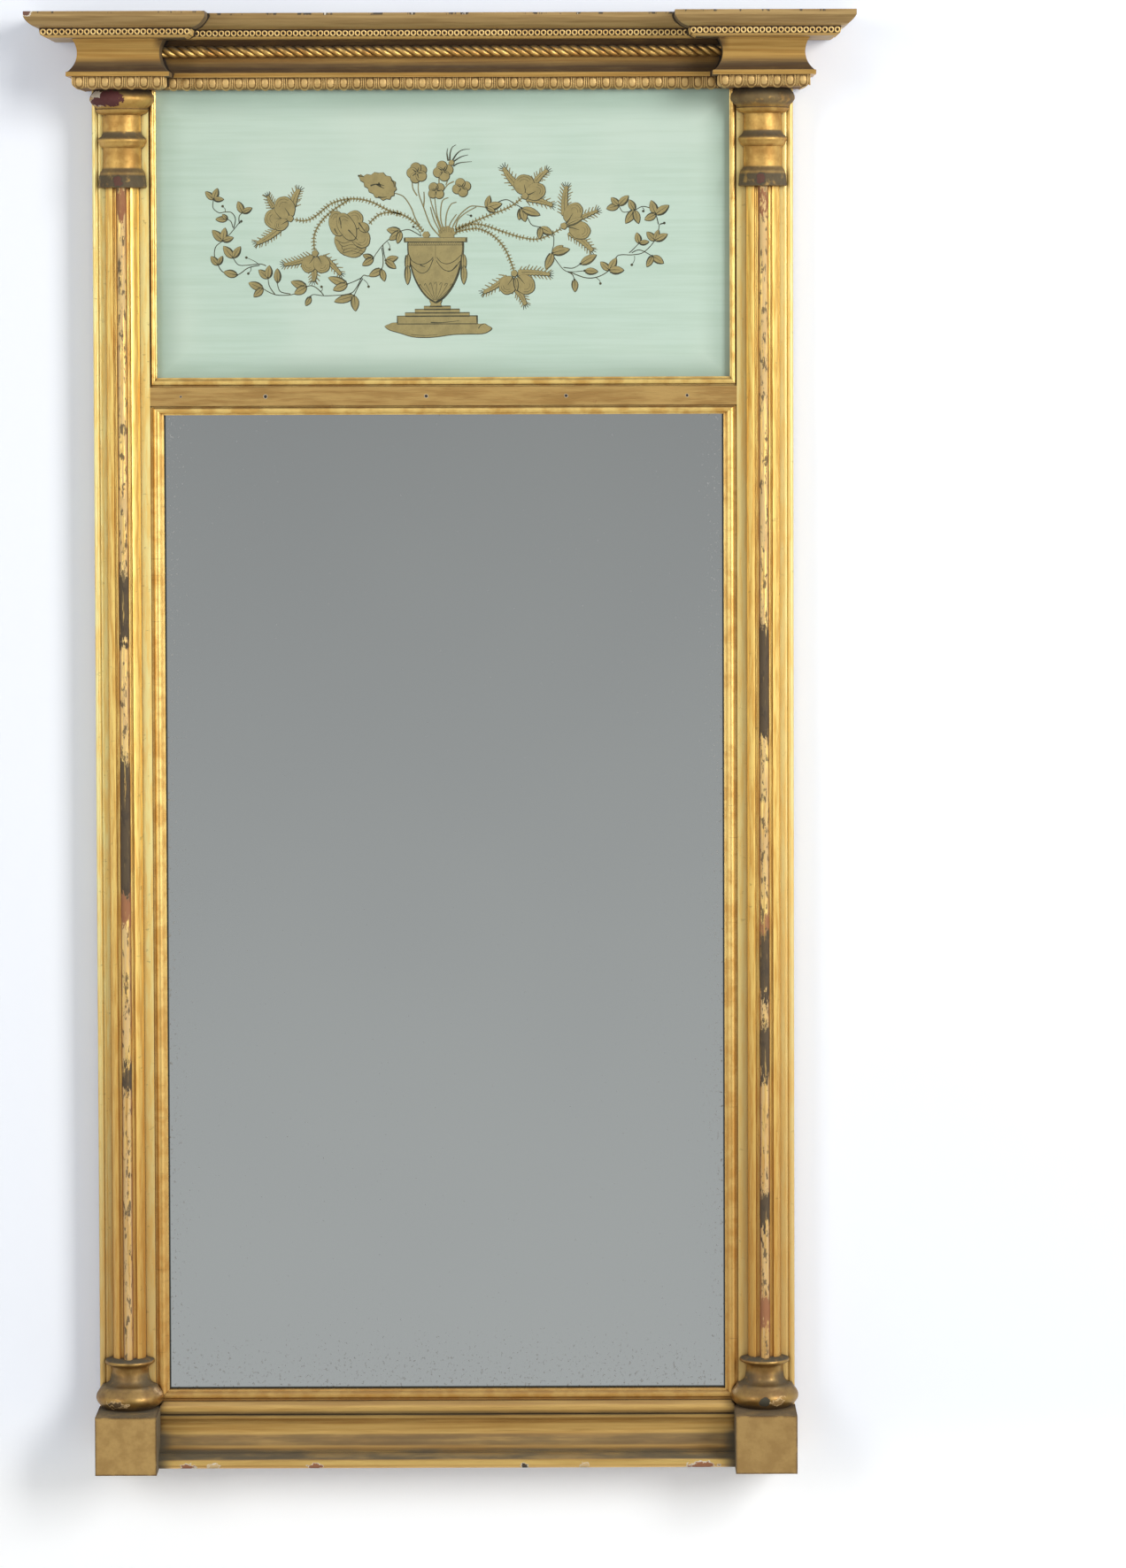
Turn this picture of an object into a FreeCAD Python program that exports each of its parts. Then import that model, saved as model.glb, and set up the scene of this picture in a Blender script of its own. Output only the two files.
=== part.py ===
import FreeCAD, Part
import os

# Tabernacle looking glass: a gilt frame with reeded half columns, a breakfront cornice, a painted
# glass tablet above and a mirror plate below. Lengths are millimetres. X runs across, Z runs up,
# the front faces -Y, and Y is 0 on the wall. The origin lies level with the eyes of the two hangers.

os.makedirs("parts", exist_ok=True)
Vector = FreeCAD.Vector

# Whole frame
frame_width = 557.0
mirror_sight_height = 782.4
tablet_sight_height = 228.8
hanger_drop = 38.2
joint_clearance = 0.1
loose_clearance = 1.0
overrun = 5.0

# Stiles, seen from the front as outer bead, hollow and flat
stile_width = 45.0
stile_thickness = 22.0
stile_bead_width = 5.0
stile_hollow_width = 2.7
stile_hollow_depth = 1.8
stile_hollow_shares = (0.30, 0.90)

# Rails and their tenons
cross_rail_height = 14.9
cross_tenon_shoulder = 2.5
cross_tenon_setback = 2.0
top_rail_height = 43.2
rail_tenon_shoulder = 11.0
rail_tenon_setback = 3.0
tenon_length = 24.0
tenon_thickness = 8.0

# Glass, backboards, glue wedges and brads
glass_thickness = 3.0
board_thickness = 6.5
board_sink = 1.5
board_ledge = 8.0
cross_board_ledge = 4.0
wedge_thickness = 3.0
wedge_width = 7.0
wedge_length = 40.0
mirror_wedge_shares = (0.08, 0.36, 0.64, 0.92)
tablet_wedge_shares = (0.20, 0.80)
brad_width = 1.6
brad_length = 14.0
brad_head_width = 3.2
brad_head_thickness = 1.0
mirror_brad_shares = (0.08, 0.36, 0.64, 0.92)
tablet_brad_shares = (0.18, 0.82)

# Beads round the two openings, outlined from the frame towards the glass
mirror_bead_width = 10.5
tablet_bead_width = 5.3
rail_bead_width = 7.4
sill_bead_width = 8.5
bead_outline_shares = [
    (0, 0),
    (0, 0.75),
    (0.18, 0.75),
    ((0.42, 0.98), (0.80, 0.66)),
    (0.86, 0.55),
    (1.0, 0.50),
    (1.0, 0),
]

# Base moulding between the plinths, from the foot torus up through flare, cove, fillet and ogee
base_moulding_height = 50.0
base_moulding_depth = 33.0
base_outline_shares = [
    (0, 0),
    (0.80, 0),
    ((1.0, 0.12), (0.80, 0.24)),
    (0.78, 0.24),
    (0.78, 0.26),
    ((0.52, 0.30), (0.40, 0.40)),
    ((0.31, 0.57), (0.37, 0.735)),
    (0.39, 0.735),
    (0.39, 0.79),
    (0.31, 0.79),
    (0.31, 0.81),
    (0.355, 0.81),
    ((0.365, 0.91), (0.27, 1.0)),
    (0, 1.0),
]

# Plinths
column_inset = 24.2
plinth_width = 48.8
plinth_step = 3.7
plinth_projection = 45.0

# Column bases, half turnings
base_torus_radius = 27.5
base_torus_height = 14.0
base_torus_swell = 4.4
base_fillet_radius = 22.5
base_fillet_height = 3.0
base_flare_height = 8.2
base_neck_radius = 15.4
base_neck_height = 8.0
base_ring_radius = 20.0
base_ring_height = 5.0
base_ring_chamfer = 1.4

# Reeded shafts: a centre reed, a flute each side and an outer reed each side
shaft_half_width = 13.0
shaft_depth = 15.5
flute_inner_share = 0.28
flute_outer_share = 0.55
reed_outline_shares = [
    (-1.0, 0),
    ((-0.90, 0.50), (-flute_outer_share, 0.76)),
    ((-0.40, 0.68), (-flute_inner_share, 0.82)),
    ((0, 1.0), (flute_inner_share, 0.82)),
    ((0.40, 0.68), (flute_outer_share, 0.76)),
    ((0.90, 0.50), (1.0, 0)),
]

# Capitals, half turnings
collar_radius = 19.2
collar_top_radius = 18.2
collar_height = 10.3
collar_bevel_height = 6.3
capital_neck_radius = 15.2
capital_neck_height = 14.6
capital_ring_radius = 19.0
capital_ring_height = 8.1
capital_ring_crest_share = 0.62
capital_slope_height = 3.9
capital_flare_radius = 22.7
capital_flare_height = 6.2
capital_torus_radius = 25.7
capital_torus_height = 13.5
flare_shares = (0.34, 0.46)

# Cornice cores
block_width = 60.0
block_projection = 32.3
frieze_board_thickness = 5.3

# Cornice mouldings, each height in turn and each projection measured from the core
leaf_height = 9.4
leaf_projection = 5.7
leaf_foot_projection = 1.5
leaf_fillet_share = 0.45
leaf_belly_shares = (0.80, 0.16)
lip_height = 3.5
lip_projection = 10.6
cove_height = 26.0
cove_foot_projection = 9.6
cove_wood = 2.4
cove_top_projection = 6.0
cove_hollow_share = 0.58
pearl_height = 7.3
pearl_projection = 29.0
pearl_thickness = 5.0
pearl_belly_shares = (0.80, 0.35)
crown_height = 12.6
crown_projection = 40.8
crown_fillet_height = 4.0
crown_seat = 10.0
crown_belly_shares = (0.74, 0.34)
rope_radius = 4.7
rope_proud_share = 0.5
rope_height_share = 0.66

# Hangers: a strap with a rolled eye, a loop that swings in it and a screw
strap_width = 14.0
strap_thickness = 1.2
strap_length = 26.0
strap_screw_share = 0.62
loop_bar = 2.0
loop_half_width = 12.0
loop_height = 22.0
loop_corner_radius = 4.0
eye_clearance = 0.1
screw_radius = 1.7
screw_head_radius = 3.2
screw_length = 13.0

# Places worked out from the sizes above, across and forward from the wall
half_width = frame_width / 2
stile_inner = half_width - stile_width
column_axis = half_width - column_inset
recess_depth = board_thickness + board_sink
glass_back = recess_depth + wedge_thickness
sight_plane = glass_back + glass_thickness
mirror_sight_half = stile_inner - mirror_bead_width
tablet_sight_half = stile_inner - tablet_bead_width
plinth_inner = column_axis - plinth_width / 2
block_inner = column_axis - block_width / 2
block_outer = column_axis + block_width / 2
block_front = stile_thickness + block_projection
frieze_front = sight_plane + frieze_board_thickness

# Heights worked out from the sizes above, measured up from the foot of the plinths
plinth_height = base_moulding_height - plinth_step
mirror_sight_foot = base_moulding_height + sill_bead_width
mirror_sight_top = mirror_sight_foot + mirror_sight_height
cross_rail_foot = mirror_sight_top + rail_bead_width
cross_rail_top = cross_rail_foot + cross_rail_height
tablet_sight_foot = cross_rail_top + rail_bead_width
cornice_foot = tablet_sight_foot + tablet_sight_height
lip_foot = cornice_foot + leaf_height
cove_foot = lip_foot + lip_height
cove_top = cove_foot + cove_height
core_top = cove_top + pearl_height
crown_top = core_top + crown_height
top_rail_foot = core_top - top_rail_height
hang_height = crown_top - hanger_drop


# Helpers
def spot(across, forward, up):
    return Vector(across, -forward, up - hang_height)


def cuboid(across, forward, up):
    # Box between the low and high end of each of the three pairs
    size = [high - low for low, high in (across, forward, up)]
    return Part.makeBox(*size, spot(across[0], forward[1], up[0]))


def outline_face(points, place):
    # Closed face; a step that holds two points is an arc through the first to the second
    edges = []
    here = points[0]
    for step in points[1:] + points[:1]:
        if isinstance(step[0], tuple):
            via, there = step
            edges.append(Part.Arc(place(*here), place(*via), place(*there)).toShape())
        else:
            there = step
            edges.append(Part.makeLine(place(*here), place(*there)))
        here = there
    return Part.Face(Part.Wire(edges))


def scaled(shares, width, height):
    # Outline shares turned into sizes
    points = []
    for step in shares:
        if isinstance(step[0], tuple):
            points.append(tuple((u * width, v * height) for u, v in step))
        else:
            points.append((step[0] * width, step[1] * height))
    return points


def flare_via(neck, rim):
    # Middle point of the hollow curve that spreads from a neck to a rim, both (radius, up)
    radius_share, up_share = flare_shares
    return (neck[0] + (rim[0] - neck[0]) * radius_share, rim[1] + (neck[1] - rim[1]) * up_share)


def half_turning(points, foot):
    # Half of a turned form, its flat back on the face of the right-hand stile
    face = outline_face(points, lambda radius, up: spot(column_axis + radius, stile_thickness, foot + up))
    return face.revolve(spot(column_axis, stile_thickness, foot), Vector(0, 0, 1), -180)


def mirrored(shape):
    return shape.mirror(Vector(0, 0, 0), Vector(1, 0, 0))


def single(shape):
    return shape.removeSplitter().Solids[0]


parts = {}


def pair(name, shape):
    # The right-hand piece and its mirror image on the left, each with its own name
    parts[name.format("right")] = shape
    parts[name.format("left")] = mirrored(shape)


def set_of(name, right_shapes):
    # Like pieces of both sides under one name
    parts[name] = Part.makeCompound(right_shapes + [mirrored(shape) for shape in right_shapes])


# Recesses for the two backboards, cut from every member that borders them
recess_half = stile_inner + board_ledge
mirror_recess = (base_moulding_height - board_ledge, cross_rail_foot + cross_board_ledge)
tablet_recess = (cross_rail_top - cross_board_ledge, top_rail_foot + board_ledge)
recess_across = (-recess_half, recess_half)
recess_forward = (-overrun, recess_depth)
recesses = [cuboid(recess_across, recess_forward, up) for up in (mirror_recess, tablet_recess)]


# Rails with their tenons
def rail(up, thickness, shoulder, setback):
    body = cuboid((-stile_inner, stile_inner), (0, thickness), up)
    reach = stile_inner + tenon_length
    tenon_up = (up[0] + shoulder, up[1] - shoulder)
    tenon = cuboid((-reach, reach), (setback, setback + tenon_thickness), tenon_up)
    return single(body.fuse(tenon).cut(recesses))


def mortise(up, shoulder, setback):
    gap = joint_clearance
    across = (stile_inner - overrun, stile_inner + tenon_length + gap)
    forward = (setback - gap, setback + tenon_thickness + gap)
    return cuboid(across, forward, (up[0] + shoulder - gap, up[1] - shoulder + gap))


cross_setback = recess_depth + cross_tenon_setback
rail_places = {
    "top_rail": ((top_rail_foot, core_top), sight_plane, rail_tenon_shoulder, rail_tenon_setback),
    "cross_rail": ((cross_rail_foot, cross_rail_top), stile_thickness, cross_tenon_shoulder, cross_setback),
    "bottom_rail": ((0, base_moulding_height), sight_plane, rail_tenon_shoulder, rail_tenon_setback),
}
for name, place in rail_places.items():
    parts[name] = rail(*place)
mortises = [mortise(up, shoulder, setback) for up, thickness, shoulder, setback in rail_places.values()]

# Brads through the backboards into the ledges of the stiles
brad_across = stile_inner + board_ledge / 2
board_half = recess_half - loose_clearance


def brad(up):
    half, head_half = brad_width / 2, brad_head_width / 2
    shank_forward = (board_sink, board_sink + brad_length)
    head_forward = (board_sink - brad_head_thickness, board_sink)
    shank = cuboid((brad_across - half, brad_across + half), shank_forward, (up - half, up + half))
    head_span = (brad_across - head_half, brad_across + head_half)
    head = cuboid(head_span, head_forward, (up - head_half, up + head_half))
    return single(shank.fuse(head))


def along(span, share):
    return span[0] + (span[1] - span[0]) * share


right_brads = [brad(along(mirror_recess, share)) for share in mirror_brad_shares]
right_brads += [brad(along(tablet_recess, share)) for share in tablet_brad_shares]
set_of("backboard_brads", right_brads)


# Screws of the hangers, countersunk flush with the back of the strap
def hanger_screw(up):
    inward = Vector(0, -1, 0)
    head_spot = spot(column_axis, -strap_thickness, up)
    head = Part.makeCone(screw_head_radius, screw_radius, strap_thickness, head_spot, inward)
    shank = Part.makeCylinder(screw_radius, screw_length, spot(column_axis, 0, up), inward)
    return single(head.fuse(shank))


screw = hanger_screw(hang_height - strap_length * strap_screw_share)
set_of("hanger_screws", [screw])

# Stiles, moulded along the outer edge
bead_inner = half_width - stile_bead_width
hollow_inner = bead_inner - stile_hollow_width
hollow_floor = stile_thickness - stile_hollow_depth
hollow_via = (
    bead_inner - stile_hollow_width * stile_hollow_shares[0],
    stile_thickness - stile_hollow_depth * stile_hollow_shares[1],
)
stile_outline = [
    (stile_inner, 0),
    (half_width, 0),
    (half_width, hollow_floor),
    ((half_width - stile_bead_width / 2, stile_thickness), (bead_inner, hollow_floor)),
    (hollow_via, (hollow_inner, stile_thickness)),
    (stile_inner, stile_thickness),
]
stile = outline_face(stile_outline, lambda across, forward: spot(across, forward, 0))
stile = stile.extrude(Vector(0, 0, core_top))
stile = stile.cut(recesses + mortises + right_brads + [screw])
pair("{}_stile", single(stile))

# Glass, backboards and the glue wedges that hold the glass
glass_half = stile_inner - loose_clearance
mirror_glass_up = (base_moulding_height + loose_clearance, cross_rail_foot - loose_clearance)
tablet_glass_up = (cross_rail_top + loose_clearance, top_rail_foot - loose_clearance)
glass_forward = (glass_back, sight_plane)
board_forward = (board_sink, recess_depth)


def backboard(recess):
    up = (recess[0] + loose_clearance, recess[1] - loose_clearance)
    return single(cuboid((-board_half, board_half), board_forward, up).cut(parts["backboard_brads"].Solids))


def wedges(name, glass_up, shares):
    corners = [
        (stile_inner, recess_depth),
        (stile_inner, glass_back),
        (stile_inner - wedge_width, glass_back),
    ]
    shapes = []
    for share in shares:
        foot = along(glass_up, share) - wedge_length / 2
        face = outline_face(corners, lambda across, forward: spot(across, forward, foot))
        shapes.append(face.extrude(Vector(0, 0, wedge_length)))
    set_of(name, shapes)


parts["mirror_plate"] = cuboid((-glass_half, glass_half), glass_forward, mirror_glass_up)
parts["tablet_glass"] = cuboid((-glass_half, glass_half), glass_forward, tablet_glass_up)
parts["mirror_backboard"] = backboard(mirror_recess)
parts["tablet_backboard"] = backboard(tablet_recess)
wedges("mirror_wedges", mirror_glass_up, mirror_wedge_shares)
wedges("tablet_wedges", tablet_glass_up, tablet_wedge_shares)


# Sight beads, mitred at the corners of the openings
def sight_bead(outer_edge, sight_edge, inward, width):
    start, end = outer_edge
    height = stile_thickness - sight_plane

    def place(across, rise):
        return spot(start[0] + inward[0] * across, sight_plane + rise, start[1] + inward[1] * across)

    run = outline_face(scaled(bead_outline_shares, width, height), place)
    run = run.extrude(spot(end[0], 0, end[1]) - spot(start[0], 0, start[1]))
    corners = [start, end, sight_edge[1], sight_edge[0], start]
    mitres = Part.Face(Part.makePolygon([spot(across, sight_plane, up) for across, up in corners]))
    return single(run.common(mitres.extrude(Vector(0, -height - overrun, 0))))


mirror_side_outer = ((stile_inner, base_moulding_height), (stile_inner, cross_rail_foot))
mirror_side_sight = ((mirror_sight_half, mirror_sight_foot), (mirror_sight_half, mirror_sight_top))
pair("mirror_bead_{}", sight_bead(mirror_side_outer, mirror_side_sight, (-1, 0), mirror_bead_width))


def level_bead(outer_up, sight_up, sight_half, inward, width):
    outer = ((-stile_inner, outer_up), (stile_inner, outer_up))
    sight = ((-sight_half, sight_up), (sight_half, sight_up))
    return sight_bead(outer, sight, inward, width)


parts["mirror_bead_top"] = level_bead(
    cross_rail_foot, mirror_sight_top, mirror_sight_half, (0, -1), rail_bead_width
)
parts["mirror_bead_bottom"] = level_bead(
    base_moulding_height, mirror_sight_foot, mirror_sight_half, (0, 1), sill_bead_width
)
parts["tablet_bead_bottom"] = level_bead(
    cross_rail_top, tablet_sight_foot, tablet_sight_half, (0, 1), rail_bead_width
)
tablet_side_outer = ((stile_inner, cross_rail_top), (stile_inner, cornice_foot))
tablet_side_sight = ((tablet_sight_half, tablet_sight_foot), (tablet_sight_half, cornice_foot))
pair("tablet_bead_{}", sight_bead(tablet_side_outer, tablet_side_sight, (-1, 0), tablet_bead_width))

# Plinths
plinth_forward = (stile_thickness, stile_thickness + plinth_projection)
pair("{}_plinth", cuboid((plinth_inner, plinth_inner + plinth_width), plinth_forward, (0, plinth_height)))

# Column bases
torus_shoulder = base_torus_radius - base_torus_swell
ring_shoulder = base_ring_radius - base_ring_chamfer
base_fillet_top = base_torus_height + base_fillet_height
base_neck_foot = base_fillet_top + base_flare_height
base_ring_foot = base_neck_foot + base_neck_height
base_height = base_ring_foot + base_ring_height
base_rim = (base_fillet_radius, base_fillet_top)
base_neck = (base_neck_radius, base_neck_foot)
base_points = [
    (0, 0),
    (torus_shoulder, 0),
    ((base_torus_radius, base_torus_height / 2), (torus_shoulder, base_torus_height)),
    (base_fillet_radius, base_torus_height),
    base_rim,
    (flare_via(base_neck, base_rim), base_neck),
    (base_neck_radius, base_ring_foot),
    (ring_shoulder, base_ring_foot),
    (base_ring_radius, base_ring_foot + base_ring_chamfer),
    (base_ring_radius, base_height - base_ring_chamfer),
    (ring_shoulder, base_height),
    (0, base_height),
]
set_of("column_bases", [half_turning(base_points, plinth_height)])

# Base moulding, planted on the bottom rail between the plinths and scribed to the column bases
moulding_outline = scaled(base_outline_shares, base_moulding_depth, base_moulding_height)
moulding = outline_face(
    moulding_outline, lambda depth, up: spot(-plinth_inner, sight_plane + depth, up)
)
moulding = moulding.extrude(Vector(plinth_inner * 2, 0, 0))
parts["base_moulding"] = single(moulding.cut(parts["column_bases"].Solids))

# Capitals
collar_neck_foot = collar_height + collar_bevel_height
capital_ring_foot = collar_neck_foot + capital_neck_height
capital_ring_top = capital_ring_foot + capital_ring_height
upper_neck_foot = capital_ring_top + capital_slope_height
capital_flare_foot = upper_neck_foot + capital_neck_height
capital_torus_foot = capital_flare_foot + capital_flare_height
capital_height = capital_torus_foot + capital_torus_height
capital_ring_crest = capital_ring_foot + capital_ring_height * capital_ring_crest_share
capital_torus_crest = capital_torus_foot + capital_torus_height / 2
capital_neck = (capital_neck_radius, capital_flare_foot)
capital_rim = (capital_flare_radius, capital_torus_foot)
capital_points = [
    (0, 0),
    (collar_radius, 0),
    (collar_top_radius, collar_height),
    (capital_neck_radius, collar_neck_foot),
    (capital_neck_radius, capital_ring_foot),
    (capital_ring_radius, capital_ring_crest),
    (capital_ring_radius, capital_ring_top),
    (capital_neck_radius, upper_neck_foot),
    capital_neck,
    (flare_via(capital_neck, capital_rim), capital_rim),
    ((capital_torus_radius, capital_torus_crest), (capital_flare_radius, capital_height)),
    (0, capital_height),
]
capital_foot = cornice_foot - capital_height
set_of("column_capitals", [half_turning(capital_points, capital_foot)])

# Reeded shafts between base and capital
shaft_foot = plinth_height + base_height
shaft = outline_face(
    scaled(reed_outline_shares, shaft_half_width, shaft_depth),
    lambda across, rise: spot(column_axis + across, stile_thickness + rise, shaft_foot),
)
pair("{}_shaft", shaft.extrude(Vector(0, 0, capital_foot - shaft_foot)))

# Cornice cores: a block round the head of each stile and the frieze board between them
core_up = (cornice_foot, core_top)
stile_head = cuboid((stile_inner, half_width), (-overrun, stile_thickness), core_up)
frieze_room = cuboid((block_inner - overrun, stile_inner), (-overrun, frieze_front), core_up)
cornice_block = cuboid((block_inner, block_outer), (0, block_front), core_up)
pair("cornice_block_{}", single(cornice_block.cut([stile_head, frieze_room])))
parts["frieze_board"] = cuboid((-stile_inner, stile_inner), (sight_plane, frieze_front), core_up)

# Outlines of the cornice mouldings as (projection from the core, height)
cove_hollow = cove_foot + cove_height * cove_hollow_share
pearl_seat = pearl_projection - pearl_thickness
pearl_belly = pearl_seat + pearl_thickness * pearl_belly_shares[0]
crown_swell = crown_projection - pearl_projection
crown_belly = pearl_projection + crown_swell * crown_belly_shares[0]
leaf_outline = [
    (0, cornice_foot),
    (leaf_foot_projection, cornice_foot),
    (
        (leaf_projection * leaf_belly_shares[0], cornice_foot + leaf_height * leaf_belly_shares[1]),
        (leaf_projection, cornice_foot + leaf_height * leaf_fillet_share),
    ),
    (leaf_projection, lip_foot),
    (0, lip_foot),
]
cove_outline = [
    (0, lip_foot),
    (lip_projection, lip_foot),
    (lip_projection, cove_foot),
    (cove_foot_projection, cove_foot),
    ((cove_wood, cove_hollow), (cove_top_projection, cove_top)),
    (0, cove_top),
]
pearl_outline = [
    (pearl_seat, cove_top),
    (
        (pearl_belly, cove_top + pearl_height * pearl_belly_shares[1]),
        (pearl_projection, core_top),
    ),
    (pearl_seat, core_top),
]
crown_outline = [
    (-crown_seat, core_top),
    (0, core_top),
    (0, cove_top),
    (pearl_seat, cove_top),
    (pearl_seat, core_top),
    (pearl_projection, core_top),
    (
        (crown_belly, core_top + crown_height * crown_belly_shares[1]),
        (crown_projection, crown_top - crown_fillet_height),
    ),
    (crown_projection, crown_top),
    (-crown_seat, crown_top),
]

# Lengths of the cornice path: two plan corners, the outward direction, and how each end spreads
# with the projection (1 at an outside mitre, -1 at an inside mitre, 0 where it is cut square)
wall_corner = (block_outer, 0)
outer_corner = (block_outer, block_front)
inner_corner = (block_inner, block_front)
return_corner = (block_inner, frieze_front)
far_corner = (-block_inner, frieze_front)
path_lengths = {
    "right_outer": (wall_corner, outer_corner, (1, 0), 0, 1),
    "right_front": (outer_corner, inner_corner, (0, 1), 1, 1),
    "right_inner": (inner_corner, return_corner, (-1, 0), 1, -1),
    "center": (return_corner, far_corner, (0, 1), -1, -1),
}


def mitred_length(outline, reach, length):
    start, end, outward, start_spread, end_spread = length
    back = min(0, outline[0][0])
    run = spot(end[0], end[1], 0) - spot(start[0], start[1], 0)
    ahead = Vector(run).normalize()
    margin = ahead * (reach + overrun)

    def place(projection, up):
        return spot(start[0] + outward[0] * projection, start[1] + outward[1] * projection, up)

    bar = outline_face(outline, place)
    bar.translate(margin * -1)
    bar = bar.extrude(run + margin * 2)

    def mitre_point(corner, projection, spread):
        across, forward = (plan + way * projection for plan, way in zip(corner, outward))
        return spot(across, forward, 0) + ahead * spread

    corners = [
        mitre_point(start, back, -start_spread * back),
        mitre_point(start, reach, -start_spread * reach),
        mitre_point(end, reach, end_spread * reach),
        mitre_point(end, back, end_spread * back),
    ]
    plan = Part.Face(Part.makePolygon(corners + corners[:1]))
    return single(bar.common(plan.extrude(Vector(0, 0, crown_top))))


def cornice_lengths(outline, reach):
    return {name: mitred_length(outline, reach, length) for name, length in path_lengths.items()}


def split_moulding(stem, outline, reach):
    # Every mitred length is a piece of its own
    for name, shape in cornice_lengths(outline, reach).items():
        if name == "center":
            parts[stem + "_center"] = shape
        else:
            pair(stem + "_{}" + name.replace("right", ""), shape)


def joined_strip(stem, outline, reach):
    # The three lengths round an end block are one strip, folded at the mitres
    lengths = cornice_lengths(outline, reach)
    parts[stem + "_center"] = lengths.pop("center")
    first, *others = lengths.values()
    pair(stem + "_{}", single(first.fuse(others)))


split_moulding("crown", crown_outline, crown_projection)
split_moulding("cove", cove_outline, lip_projection)
joined_strip("pearl_strip", pearl_outline, pearl_projection)
joined_strip("leaf_strip", leaf_outline, leaf_projection)

# Rope strip, seated in the hollow of the middle cove and cut to it
rope_forward = frieze_front + cove_wood + rope_radius * rope_proud_share
rope_start = spot(-block_inner, rope_forward, cove_foot + cove_height * rope_height_share)
rope = Part.makeCylinder(rope_radius, block_inner * 2, rope_start, Vector(1, 0, 0))
rope_seats = [parts[name] for name in ("cove_center", "cove_right_inner", "cove_left_inner")]
parts["rope_strip"] = single(rope.cut(rope_seats))

# Hangers: strap with a rolled eye on the back of each stile, and a D-shaped loop hanging from it
eye_bore = loop_bar / 2 * 2 ** 0.5 + eye_clearance
eye_radius = eye_bore + strap_thickness
eye_half = strap_width / 2
eye_start = spot(column_axis - eye_half, -eye_radius, hang_height)
plate_across = (column_axis - eye_half, column_axis + eye_half)
plate = cuboid(plate_across, (-strap_thickness, 0), (hang_height - strap_length, hang_height))
eye = Part.makeCylinder(eye_radius, strap_width, eye_start, Vector(1, 0, 0))
bore = Part.makeCylinder(eye_bore, strap_width, eye_start, Vector(1, 0, 0))
set_of("hanger_straps", [single(plate.fuse(eye).cut([bore, screw]))])


def loop_spot(across, drop):
    return spot(column_axis + across, -eye_radius, hang_height - drop)


loop_foot = loop_height - loop_half_width
corner_via = loop_corner_radius * (1 - 0.5 ** 0.5)
loop_outline = [
    (0, 0),
    (loop_half_width - loop_corner_radius, 0),
    ((loop_half_width - corner_via, corner_via), (loop_half_width, loop_corner_radius)),
    (loop_half_width, loop_foot),
    ((0, loop_height), (-loop_half_width, loop_foot)),
    (-loop_half_width, loop_corner_radius),
    ((corner_via - loop_half_width, corner_via), (loop_corner_radius - loop_half_width, 0)),
]
bar_side = loop_bar / 2
section_corners = [(-1, -1), (1, -1), (1, 1), (-1, 1), (-1, -1)]
bar_section = Part.makePolygon([loop_spot(0, 0) + Vector(0, y, z) * bar_side for y, z in section_corners])
loop_path = outline_face(loop_outline, loop_spot).OuterWire
pair("hanger_loop_{}", loop_path.makePipeShell([bar_section], True, False))

for name, shape in parts.items():
    shape.exportStep("parts/" + name + ".step")
print(len(parts), "pieces,", sum(len(shape.Solids) for shape in parts.values()), "solids")
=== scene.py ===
# %% [markdown]
# A tall gilt looking glass with two reeded half columns, a stepped cornice, a reverse-painted glass
# tablet and a mirror plate below it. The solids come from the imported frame. This lesson lights and
# frames them, gives every surface its finish, and models the carved, cast and painted detail.

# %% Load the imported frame
import math
import random

import bpy
from mathutils import Matrix, Vector


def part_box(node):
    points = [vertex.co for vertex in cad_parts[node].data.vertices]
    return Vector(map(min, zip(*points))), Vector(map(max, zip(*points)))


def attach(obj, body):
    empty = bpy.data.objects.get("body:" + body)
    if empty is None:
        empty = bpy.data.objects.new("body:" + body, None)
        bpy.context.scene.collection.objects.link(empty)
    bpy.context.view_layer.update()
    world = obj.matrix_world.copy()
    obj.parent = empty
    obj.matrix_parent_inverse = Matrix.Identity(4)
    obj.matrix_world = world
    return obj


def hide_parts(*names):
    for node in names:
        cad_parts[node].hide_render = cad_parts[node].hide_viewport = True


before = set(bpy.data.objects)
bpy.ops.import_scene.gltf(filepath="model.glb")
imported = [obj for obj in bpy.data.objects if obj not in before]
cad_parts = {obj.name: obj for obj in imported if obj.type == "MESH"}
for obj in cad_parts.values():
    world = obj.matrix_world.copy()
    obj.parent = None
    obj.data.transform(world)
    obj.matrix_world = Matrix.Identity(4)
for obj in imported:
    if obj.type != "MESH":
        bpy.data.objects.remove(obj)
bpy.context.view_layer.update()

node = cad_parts

# %% [markdown]
# The camera stands where the picture was taken from: level with the painted tablet and about four
# metres off, so the upper faces of the plinths and rings show as thin bands. A long lens keeps the
# uprights almost parallel, and a small shift frames the glass low, as a view camera would.

# %% Set the camera
sensor = 36.0
camera_data = bpy.data.cameras.new("view_camera")
camera_data.sensor_width = sensor
camera_data.lens = 120.5
camera_data.shift_y = -0.18
camera_data.clip_end = 60
camera = bpy.data.objects.new("view_camera", camera_data)
bpy.context.scene.collection.objects.link(camera)
camera.location = (0.0949, -4.2, -0.1838)
down, roll = math.radians(2.262), math.radians(-0.176)
turn = Matrix.Rotation(math.pi / 2 - down, 3, "X") @ Matrix.Rotation(roll, 3, "Z")
camera.rotation_euler = turn.to_euler()
bpy.context.scene.camera = camera
bpy.context.scene.view_settings.view_transform = "Standard"
print("camera at", tuple(camera.location), "lens", camera_data.lens)

# %% [markdown]
# Every finish below is a small network of nodes. A bench is a helper that adds nodes to one material:
# a number or colour is set on the socket itself, and another node's output is linked to it. A gilding is
# built up on its bench: a stain changes the shade so far, and a cover takes away the shine.


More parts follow.
